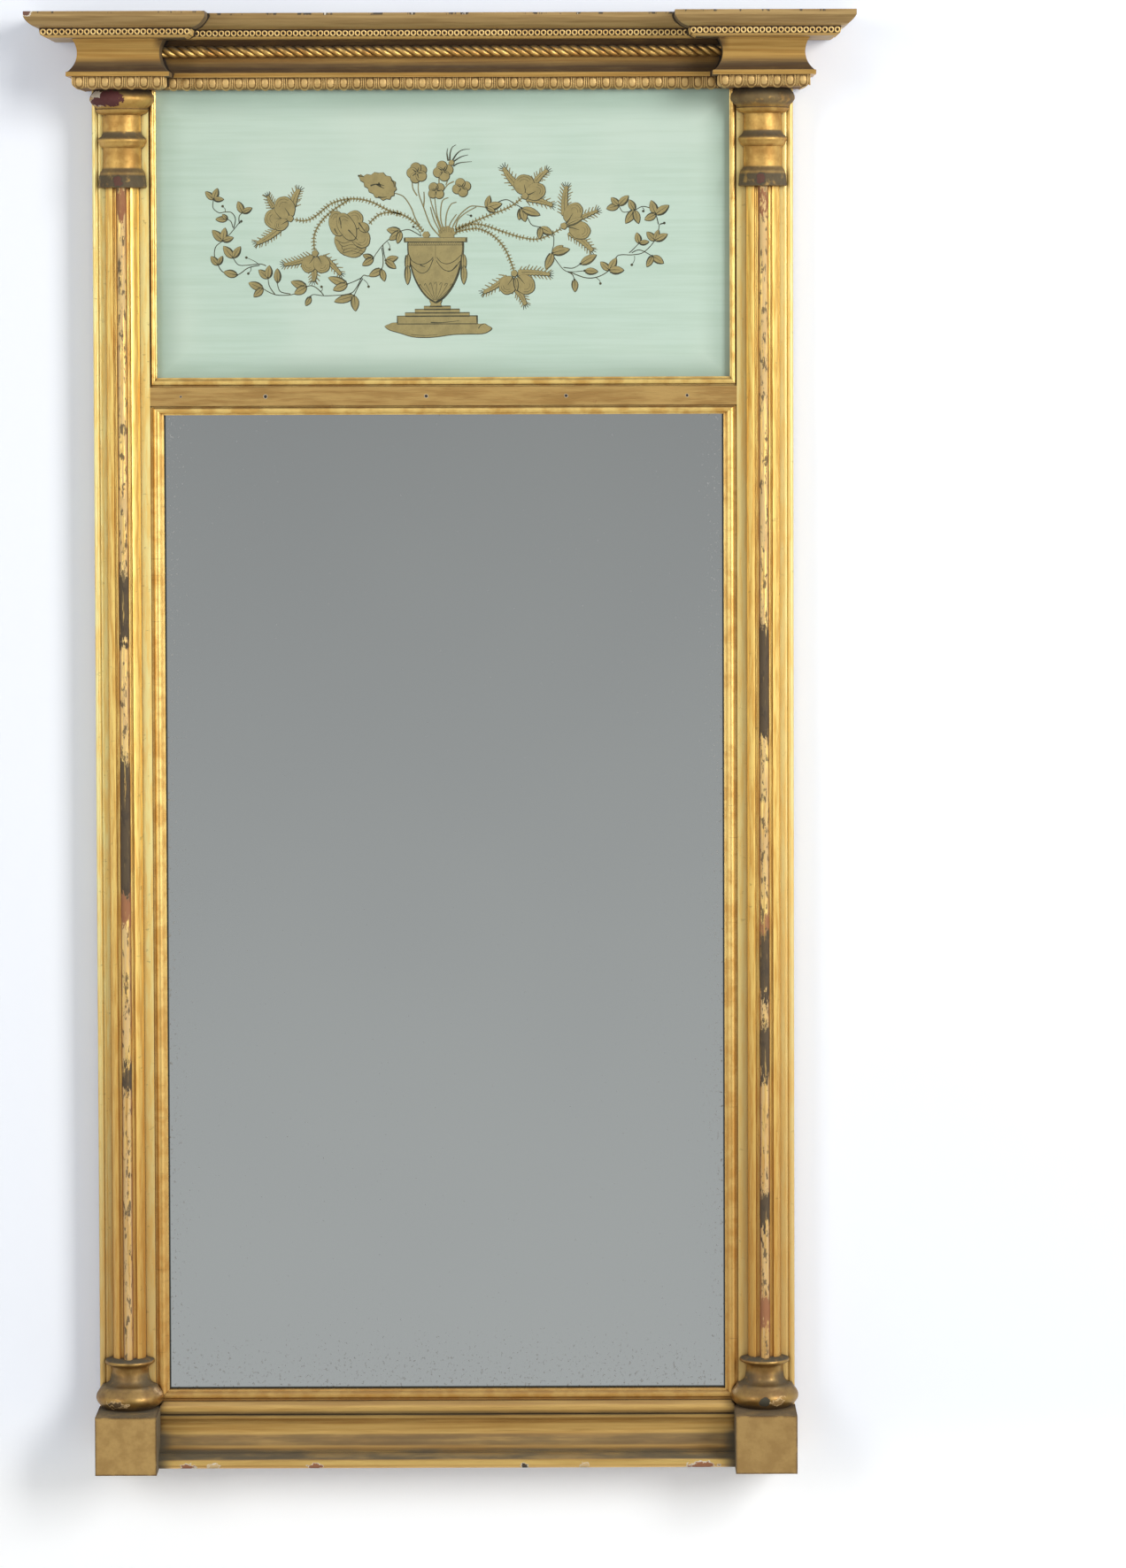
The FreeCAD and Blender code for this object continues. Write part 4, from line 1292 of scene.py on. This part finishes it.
def petal(middle, half_length, half_width, angle, layer):
    gilt(lobed(middle, half_length, 6, 0.05, 0.3, half_width / half_length, angle, 4), layer, 0.45)
    for reach in (0.78, 0.52):
        rib = [
            (half_length * reach * math.cos(about), half_width * reach * math.sin(about))
            for about in (-1.0, -0.5, 0, 0.5, 1.0)
        ]
        inking.line(turned_about(rib, middle, angle), layer + 1, 0.32, 0.2)


def bloom(calyx, petals, fronds):
    # Round petals spread from the calyx over fringed fronds
    for start, end, width in fronds:
        frond(start, end, width)
    for number, (middle, half_length, half_width) in enumerate(petals):
        angle = math.atan2(middle[1] - calyx[1], middle[0] - calyx[0])
        petal(middle, half_length, half_width, angle, 5 + number * 2)
        fold = [calyx, ((calyx[0] + middle[0]) / 2 + 0.8, (calyx[1] + middle[1]) / 2), middle]
        inking.line(fold, 6 + number * 2, 1.4, 0.2)
    gilt(lobed(calyx, 2.6, 5, 0.2), 13, 0.4)


def pansy(place, radius, turn, lobes):
    # Round lobes about a dark eye
    for number in range(lobes):
        about = turn + number * 2 * math.pi / lobes
        gilt(lobed(off(place, radius * 0.5, about), radius * 0.5, 1, 0, steps=16), 8 + number, 0.5)
    for number in range(lobes):
        about = turn + (number + 0.5) * 2 * math.pi / lobes
        fold = [off(place, radius * 0.12, about), off(place, radius * 0.55, about)]
        inking.line(fold, 14, 1.2, 0.4)


# %% [markdown]
# The urn stands a little left of the middle on a stepped plinth and a low mound. Its outline is given as
# half widths at heights and mirrored. Swags and flutes are ink lines on the leaf.

# %% Urn
urn_middle = -5.2
step_middle = urn_middle + 1.2


def mirrored_outline(halves, middle=urn_middle):
    right = [(middle + half, up) for half, up in halves]
    left = [(middle - half, up) for half, up in reversed(halves)]
    return right + left


def over_urn(*points):
    return smooth([(urn_middle + across, up) for across, up in points], 6)


mound = [(-46.2, -75.8), (-42.6, -78.6), (-34, -81.1), (-24.5, -84), (-13.7, -84.7), (-3, -84), (8.5, -82.4),
         (21, -82), (31.8, -81.8), (36.8, -80.2), (39.6, -77.7), (36.2, -75.6), (33.8, -74.1), (29, -74.4),
         (20, -73), (-34, -73), (-42, -74.1)]
gilt(smooth(mound + mound[:1], 3)[:-1], 2, 0.45)
inking.line(smooth([(29, -78), (30.6, -75.4), (33.4, -74.3)], 5), 3, 0.7, 0.4)
inking.line(smooth([(-25, -82.6), (-14, -83.4), (-4, -82.8)], 5), 3, 0.5, 0.3)
for number, (half, foot, top) in enumerate(
    ((32.3, -73.8, -67.8), (25.8, -67.8, -65.2), (17.9, -65.2, -62.4), (10.6, -62.4, -60.0))
):
    gilt(mirrored_outline([(half, top), (half, foot)], step_middle), 3 + number, 0.45)
    inking.line([(step_middle - half, top), (step_middle + half, top)], 8, 0.5, 0.8)
inking.line([(step_middle + 31.9, -68), (step_middle + 31.9, -73.6)], 8, 1.0, 0.7)
inking.line([(step_middle - 31.9, -68), (step_middle - 31.9, -73.6)], 8, 0.5, 1.0)
inking.line(over_urn((-4, -73), (4, -73.2), (11, -72.6), (19, -71.6)), 8, 0.9, 0.25)
gilt(mirrored_outline([(5.4, -54.4), (4.6, -56), (3.7, -58), (5.0, -60.2)]), 7, 0.45)
bowl = [(22.2, -8.4), (22.0, -16.8), (20.3, -26.3), (17.2, -36.6), (12.4, -46), (6.6, -53), (0.6, -57)]
gilt(mirrored_outline(smooth(bowl, 4)), 9, 0.6)
gilt(mirrored_outline([(25.3, -5.5), (25.3, -8.5)]), 10, 0.5)
inking.line(over_urn(*((half - 0.5, up) for half, up in bowl)), 11, 0.6, 1.4)
inking.line(over_urn(*((0.3 - half, up) for half, up in bowl)), 11, 0.5, 1.1)
for side in (-1, 1):
    inking.line([(urn_middle + side * 24.6, -5.7), (urn_middle + side * 24.6, -8.3)], 11, 1.2)
for up in (-8.9, -11.4):
    inking.line([(urn_middle - 21.9, up), (urn_middle + 21.9, up)], 11, 0.36)
for number in range(29):
    across = urn_middle - 21 + number * 1.5
    inking.line([(across - 0.5, -9.2), (across + 0.5, -11.2)], 11, 0.28)
inking.line([(urn_middle, -11.4), (urn_middle, -22)], 11, 0.3)
for swag in (
    ((-20.6, -21), (-18.6, -24), (-14, -26.4), (-9, -26.3), (-4.6, -24), (-1.8, -21)),
    ((-19.8, -27), (-15.4, -31.4), (-10.4, -33.8), (-5.4, -30.6), (-1.8, -22.4)),
    ((1, -21), (4.4, -25), (9.8, -26.3), (15.6, -23.8), (20.6, -19.2)),
    ((0.6, -23.6), (3.6, -28), (7.4, -31.4), (12.4, -31.8), (17, -27.6), (19.8, -24.2)),
):
    inking.line(over_urn(*swag), 11, 0.5, 0.6)
inking.line(over_urn((-12.4, -27), (-10.4, -28), (-8.2, -28.8)), 12, 1.2, 0.3)
inking.line(over_urn((9.8, -32.6), (13.4, -31.4), (17.2, -27.4)), 12, 0.3, 1.2)
for number in range(7):
    across = -12.3 + number * 4.1
    top = -41 - abs(across) * 0.12
    tongue = ((across - 0.9, top - 1.6), (across, top), (across + 0.9, top - 1.6), (across * 0.14, -55.2))
    inking.line(over_urn(*tongue), 11, 0.45, 0.3)
for side in (-1, 1):
    top = (urn_middle + side * 22.2, -18.4)
    leaf(top, -math.pi / 2 + side * 0.04, 14, 4.2, 11)
    leaf((top[0] + side * 0.3, -27.6), -math.pi / 2, 15, 4.6, 13)
tell("urn")

# %% [markdown]
# Out of the urn come upright stalks with round-lobed flowers and a tuft of grass. Each stalk is a thin dark
# line with a little leaf in it, drawn through a few points from its foot to its tip.

# %% Flowers in the urn
gilt(lobed((3.8, -1.8), 7.2, 9, 0.25, squash=0.8), 2, 0.25)
gilt(lobed((-12.7, -3.2), 3.0, 6, 0.25), 2, 0.25)
for stalk in (
    ((-1.1, -4.9), (-8.8, 4.1), (-14.6, 18.9), (-18.5, 30.4), (-18.5, 40)),
    ((-19.7, 27.9), (-23, 33.7), (-23.6, 40)),
    ((-14.6, 18.9), (-14, 24.6), (-14.2, 31.1)),
    ((-0.5, -2.4), (-6.2, 8.6), (-9.1, 18.9)),
    ((0.2, -1.7), (-3.7, 8.6), (-7.5, 19.5), (-9.5, 27)),
    ((0.8, -1.1), (-3.7, 11.8), (-5.6, 26)),
    ((2.8, -1.1), (-0.5, 7.3), (-0.8, 16.9), (0.8, 24), (5.3, 26.3)),
    ((3.4, -1.1), (3.1, 5.4), (4, 13.7), (7.3, 20.8), (11.8, 22.7)),
    ((5.7, -1.1), (6.6, 5.4), (11.8, 13.1)),
    ((7.3, -1.7), (9.8, 5.4), (15, 13.1), (22.1, 18.9), (27.2, 19.5), (35.9, 18.4)),
    ((11.1, 2.1), (13, 8.6), (19.5, 14.4), (27.8, 18.9)),
    ((-15.6, 0), (-21, 9.5), (-24.8, 19), (-31, 27.5), (-39.6, 30.4)),
    ((9.8, 39.1), (5.3, 36.9), (2.1, 33)),
    ((-2.1, 42), (-2.1, 37.6)),
    ((5, 41), (3.4, 36.2)),
):
    path = smooth(stalk, 7)
    inking.line(path, 3, 1.1, 0.75)
    leafing.line(path, 3.5, 0.7, 0.35)
pansy((-19.7, 46.2), 8.2, 0.6, 5)
pansy((1.1, 47.6), 8.0, 0.25, 4)
pansy((-4.4, 32.0), 7.1, 0.7, 4)
pansy((15.8, 34.4), 7.4, 0.3, 4)
for blade in (
    ((5.3, 55.6), (4.4, 61.3), (5, 65.5)),
    ((6.6, 55.6), (6.9, 61.3), (8.5, 66.1), (11.8, 68.4)),
    ((8.6, 55.6), (12.4, 61.3), (16.9, 64.2), (22.7, 64.8)),
    ((9.6, 55), (15.6, 58.7), (21.4, 60.3)),
    ((9.4, 51.3), (14.3, 53.9), (24.3, 54.9)),
):
    inking.line(smooth(blade, 6), 15, 1.25, 0.3)
gilt(lobed((7.8, 54.2), 2.2, 6, 0.25), 16, 0.3)
tell("flowers")

# %% [markdown]
# On the left, long feathered stems arch out from the urn to a full rose and two blooms seen from the side,
# whose fringed fronds stand out between their petals. A saw-edged bud stands above them.

# %% Left stems and blooms
feathered((-15.2, -0.4), (-21, 6), (-29.4, 11.8), (-39.7, 14.6), (-50.2, 12.9), (-58.4, 5.7))
feathered((-33, 13.4), (-42, 16), (-57.3, 23.4), (-72.6, 25.6), (-87.9, 22), (-99.1, 13.4), (-105.4, 9.4),
          (-111.4, 8.2), (-118, 9.2))
feathered((-74, 25), (-87.9, 15.9), (-97.1, 6.8), (-102.2, -3.4), (-102.2, -15))
for number, (middle, half_length, half_width, degrees) in enumerate((
    ((-73.6, -9.6), 13.2, 10.6, -30), ((-84.0, 6.2), 10.2, 6.4, 100), ((-65.2, -5.2), 8.6, 7.2, -60),
    ((-70.6, 8.6), 8.0, 7.0, 60), ((-76.4, 3.6), 12.0, 6.6, 118), ((-62.6, 3.0), 4.4, 3.6, -40),
)):
    petal(middle, half_length, half_width, math.radians(degrees), 4 + number * 2)
for crease in (
    ((-82, 11), (-81.2, 7), (-80.6, 2)), ((-75, 1), (-71.5, -2.6), (-67.6, -7.2)),
    ((-66.5, 6.7), (-64, 3), (-61.2, -1)), ((-86, 2), (-85, -0.4), (-83.4, -2.6)),
):
    inking.line(crease, 17, 1.0, 0.5)
for number in range(4):
    up = -9.6 - number * 2.6
    ripple = smooth([(-85 + number * 2.4, up + 3), (-79, up), (-72, up + 1.4), (-65 + number, up - 1.6)], 6)
    inking.line(ripple, 17, 0.4, 0.25)

bud_halves = ((0, 0, 0), (4, 1.4, 1.2), (9, 5.0, 4.0), (14, 9.2, 6.2), (20, 9.8, 7.8), (26, 8.8, 7.4),
              (30, 6.0, 4.6), (31.4, 1.4, 1.2))
upper = smooth([(along, over) for along, over, under in bud_halves], 2)
lower = smooth([(along, -under) for along, over, under in bud_halves], 2)[:0:-1]
edge = turned_about(upper + lower, (-67, 43.9), -0.46)
gilt([far if number % 2 else near for number, (near, far) in enumerate(zip(edge, grown(edge, 1.3)))], 4, 0.5)
for crease in (
    ((-50.6, 38.4), (-49.4, 36.6), (-48.6, 35)), ((-52, 37), (-49, 35.2), (-46, 33.8)),
    ((-67, 44.2), (-64.8, 43.6), (-62, 43)), ((-40.4, 40.6), (-38.4, 38.2), (-38, 34.6)),
    ((-51, 27), (-47.6, 26.6), (-44, 27)), ((-57, 36), (-52, 37.2), (-46, 36)),
):
    inking.line(smooth(crease, 4), 6, 1.3, 0.4)

bloom(
    (-121.6, 10.2),
    (((-133.2, 10), 9.0, 8.2), ((-125.8, 18.6), 9.4, 8.0), ((-128.4, 5.4), 5.6, 4.4)),
    (
        ((-119.6, 20), (-114.2, 33.2), 6.5), ((-134.6, 19), (-139.2, 28), 4.0),
        ((-129.6, 2.6), (-148.5, -9.6), 6.0),
    ),
)
bloom(
    (-101.7, -17.6),
    (((-106.4, -26), 7.0, 5.8), ((-96.4, -26.2), 7.0, 6.4)),
    (
        ((-104, -20.4), (-126.6, -26.5), 5.2), ((-96, -20), (-81.3, -34.7), 5.0),
        ((-103.4, -29), (-103.2, -39.8), 5.6),
    ),
)
tell("left stems")

# %% [markdown]
# On the right, three feathered stems carry a side-on bloom each.

# %% Right stems and blooms
feathered((11, 1.4), (21.7, 5.6), (38.1, 12.2), (54.5, 18.8), (64.5, 26))
feathered((11, 0.2), (21.7, 4.6), (32.6, 4.5), (49.1, -1), (65.5, -5.9), (78.7, -6.5), (95, 1))
feathered((11, -1.2), (21.7, 1.2), (30.4, 1.2), (41.4, -4.3), (50.2, -14.1), (55.6, -26.2), (57.8, -33))
bloom(
    (66.6, 27.5),
    (((66, 36.6), 8.0, 8.2), ((75.0, 31.0), 8.2, 6.8)),
    (((62, 34), (49.6, 50), 6.5), ((74.5, 38), (84.7, 47.8), 5.4), ((68, 25.6), (88.5, 19.9), 5.6)),
)
bloom(
    (97.6, 3.6),
    (((105.0, 13.8), 9.0, 7.0), ((110.4, 0.2), 8.6, 7.0)),
    (((98.6, 12), (100, 35.2), 6.8), ((102.2, -1), (120.3, -16.3), 6.8)),
)
frond((101, 4.6), (124.7, 15.5), 4.8)
leaf((100, 4.4), 0.42, 14, 4.2, 15)
bloom(
    (57.8, -34),
    (((52.6, -43.4), 7.4, 6.8), ((66.4, -42.8), 8.4, 7.4)),
    (((52, -37), (33.2, -49.2), 5.4), ((61, -33.4), (86.3, -35), 5.4), ((58.9, -46), (66.6, -59.1), 5.6)),
)
leaf((58.4, -37), -1.45, 11, 3.4, 15)
tell("right stems")

# %% [markdown]
# Two thin vines trail from the urn. They branch into short stalks, and each stalk carries one to four
# leaves or a berry. The leaves of a sprig are given by direction and length. The left garland comes first.


# %% Left garland
def garland(vines, sprigs, berries):
    for points in vines:
        inking.line(smooth(points, 8), 0, 0.8, 0.6)
    for place, leaves in sprigs:
        sprig(place, *leaves)
    for start, end in berries:
        berry(start, end)


left_vines = [
    ((-16.5, -4.3), (-22, -1), (-27, 1), (-33.2, -0.4), (-39, -4.1), (-44.1, -8.2), (-49.2, -13.3),
     (-55.3, -21.9)),
    ((-47.4, -11), (-46.4, -18), (-45.1, -23.5)),
    ((-48.2, -13.3), (-47.1, -22.4), (-48.7, -30.6), (-58.4, -35.7), (-63.4, -35.7), (-68.5, -44.9),
     (-74.7, -50), (-93, -51.5), (-103.2, -50.5), (-106.2, -53)),
    ((-64, -37), (-70, -40), (-76.2, -42.3)),
    ((-63.4, -37.7), (-67, -44), (-70.6, -51.5)),
    ((-95, -51), (-98, -47.5), (-103.2, -43.8), (-108.8, -44.3), (-118.5, -50), (-129.7, -51),
     (-136.8, -49.4), (-143.9, -45.4)),
    ((-133.8, -50.5), (-138.3, -43.8), (-139.4, -37.2)),
    ((-121.5, -50), (-129.7, -47.9), (-132.2, -40.8)),
    ((-140.9, -27.5), (-146, -26), (-156.2, -27), (-163.3, -26.5), (-167.4, -20.9)),
    ((-146, -27), (-155.2, -29.1), (-164.3, -34.7), (-175, -32.6), (-179.6, -26.5), (-182.2, -19.4),
     (-181.1, -12.2), (-175.5, -7.5), (-171, -3.4), (-167.4, 0.6), (-162.3, 6.7), (-160.8, 7.8)),
    ((-167.4, 3.2), (-168.9, 7.8), (-172, 9.8)),
    ((-166.9, 2.2), (-165.3, 9.8), (-168.4, 14.9), (-173.5, 15.4), (-178.6, 14.9), (-183.2, 19),
     (-182.7, 25.6)),
    ((-162.3, 6.7), (-162.3, 11.8), (-159.7, 14.9)),
]
left_sprigs = [
    ((-33.2, -0.4), ((172, 11), (217, 11), (255, 9.7))), ((-55.3, -21.9), ((160, 8.5), (212, 10))),
    ((-45.1, -23.5), ((15, 10), (-38, 10))), ((-48.7, -30.6), ((208, 11), (-75, 9.5))),
    ((-76.2, -42.3), ((160, 16), (202, 12))), ((-70.6, -51.5), ((196, 16.5), (-85, 12))),
    ((-105.7, -52.5), ((241, 7.5),)), ((-108.8, -44.3), ((161, 13), (210, 11))),
    ((-143.9, -45.4), ((158, 12), (223, 9.6))), ((-139.4, -37.2), ((139, 10), (85, 10))),
    ((-131.8, -40.6), ((92, 11),)), ((-167.4, -20.9), ((130, 12), (57, 10.6))),
    ((-164.3, -34.7), ((167, 11),)), ((-179.6, -26.5), ((130, 8.7), (62, 7.8))),
    ((-175.5, -7.5), ((135, 12), (81, 10.5), (18, 8.6))), ((-172, 9.8), ((180, 9.2), (135, 5.4))),
    ((-159.7, 14.9), ((112, 9.6), (27, 8.4))), ((-182.7, 25.6), ((137, 9), (71, 9.2), (0, 7.8))),
]
left_berries = [
    ((-16.5, -3.4), (-22.8, 3.2)), ((-43.6, -8.7), (-42, -14.8)), ((-62.9, -38.7), (-58.9, -44.3)),
    ((-97, -48), (-96.6, -44.3)), ((-147, -26), (-156.7, -20.9)), ((-153.1, -28.6), (-155.2, -33.6)),
    ((-173.5, 15.4), (-175.5, 20)), ((-163, 6), (-160.6, 8)),
]
garland(left_vines, left_sprigs, left_berries)
tell("left garland")

# %% [markdown]
# The right garland starts at a sprig beside the urn, winds between the blooms and turns back at its end.

# %% Right garland
right_vines = [
    ((35.9, 18.2), (44, 22), (49.1, 24.2), (53.4, 24.2), (57.8, 21.5), (63.9, 17.7), (68.8, 10),
     (72.1, 4.5), (78.7, 2.3), (88.5, -2.6), (89.6, -10.8), (88.5, -18), (94, -27.3), (100.6, -32.8),
     (114.3, -32.2)),
    ((97.3, -29.5), (105, -30), (111, -26.7)),
    ((100.6, -32.8), (104.6, -35.4), (106.1, -39.3)),
    ((103, -33.4), (114.8, -37.7), (124.7, -37.1), (134, -31.7), (139.5, -21.8), (143.3, -19.6),
     (153.2, -19.6), (161.9, -17.4), (170.7, -8.1), (173.5, 0.1), (174.6, 4.5), (178.4, 5.6)),
    ((150, -18), (152.1, -16.3), (158.1, -10.3)),
    ((152.1, -18), (158.7, -15.8), (168.5, -20.7)),
    ((173.5, 4.5), (171.3, 12.7), (167.4, 17.1), (160.9, 18.8), (154.3, 16), (145.5, 14.4), (141.7, 19.9)),
]
right_sprigs = [
    ((35.9, 18.2), ((77, 10), (15, 12.5), (-25, 7.4))),
    ((63.9, 17.7), ((256, 9.2), (-75, 10.8), (-20, 15.6))), ((78.7, 2.3), ((-27, 11), (-94, 8.8))),
    ((88.5, -18), ((36, 10.2), (13, 14), (247, 13.7))), ((114.3, -32.2), ((-3, 10.4),)),
    ((111, -26.7), ((30, 14.5),)), ((106.1, -39.3), ((-88, 9.4),)),
    ((134, -31.7), ((137, 9.7), (60, 11), (0, 11.5))), ((158.1, -10.3), ((105, 8.6), (9, 7.6))),
    ((168.5, -20.7), ((-32, 10.4), (242, 9.4))), ((170.7, -8.1), ((135, 9.4), (72, 8.8), (27, 11))),
    ((171.3, 12.7), ((109, 11.6), (34, 12.6), (206, 9.8))),
    ((154.3, 16), ((118, 9.4), (235, 12.6), (-73, 11))),
    ((141.7, 19.9), ((195, 10.2), (135, 8.6), (45, 10.8))),
]
right_berries = [
    ((123.6, -37.7), (126.9, -42.4)), ((154.3, -20.4), (152.1, -27.6)), ((160.6, 18), (161.4, 15.1)),
    ((175, 4.6), (178.2, 5.6)), ((20, 12.6), (23.4, 11.8)),
]
garland(right_vines, right_sprigs, right_berries)
tell("right garland")

# %% [markdown]
# The leaf of the design has dulled behind its glass, and the ink has thinned to an olive brown in places.
# With both finishes mixed, the drawing and the leaf become two thin meshes.

# %% Finishes of the design
old_leaf = Bench("old_leaf")
mottle = old_leaf.noise(120, 4, 0.6)
speck = old_leaf.noise(900, 2)
tone = old_leaf.blend(old_leaf.ramp(mottle, 0.35, 0.68), colour(165, 150, 98), colour(148, 135, 87))
tone = old_leaf.blend(old_leaf.ramp(speck, 0.6, 0.75, 0, 0.5), tone, colour(112, 104, 66))
dull = old_leaf.ramp(mottle, 0.3, 0.7, 0.42, 0.55)
old_leaf.wear(colour=tone, rough=dull, metal=0.2, coat=0.6, coat_rough=0.03)
dark_ink = Bench("dark_ink")
wash = dark_ink.noise(160, 3)
tone = dark_ink.blend(dark_ink.ramp(wash, 0.35, 0.7), colour(44, 46, 27), colour(76, 72, 40))
dark_ink.wear(colour=tone, rough=dark_ink.ramp(wash, 0.3, 0.7, 0.4, 0.6), coat=0.6, coat_rough=0.03)
inking.made("ink_drawing", dark_ink.finish)
leafing.made("gold_leaf_design", old_leaf.finish)
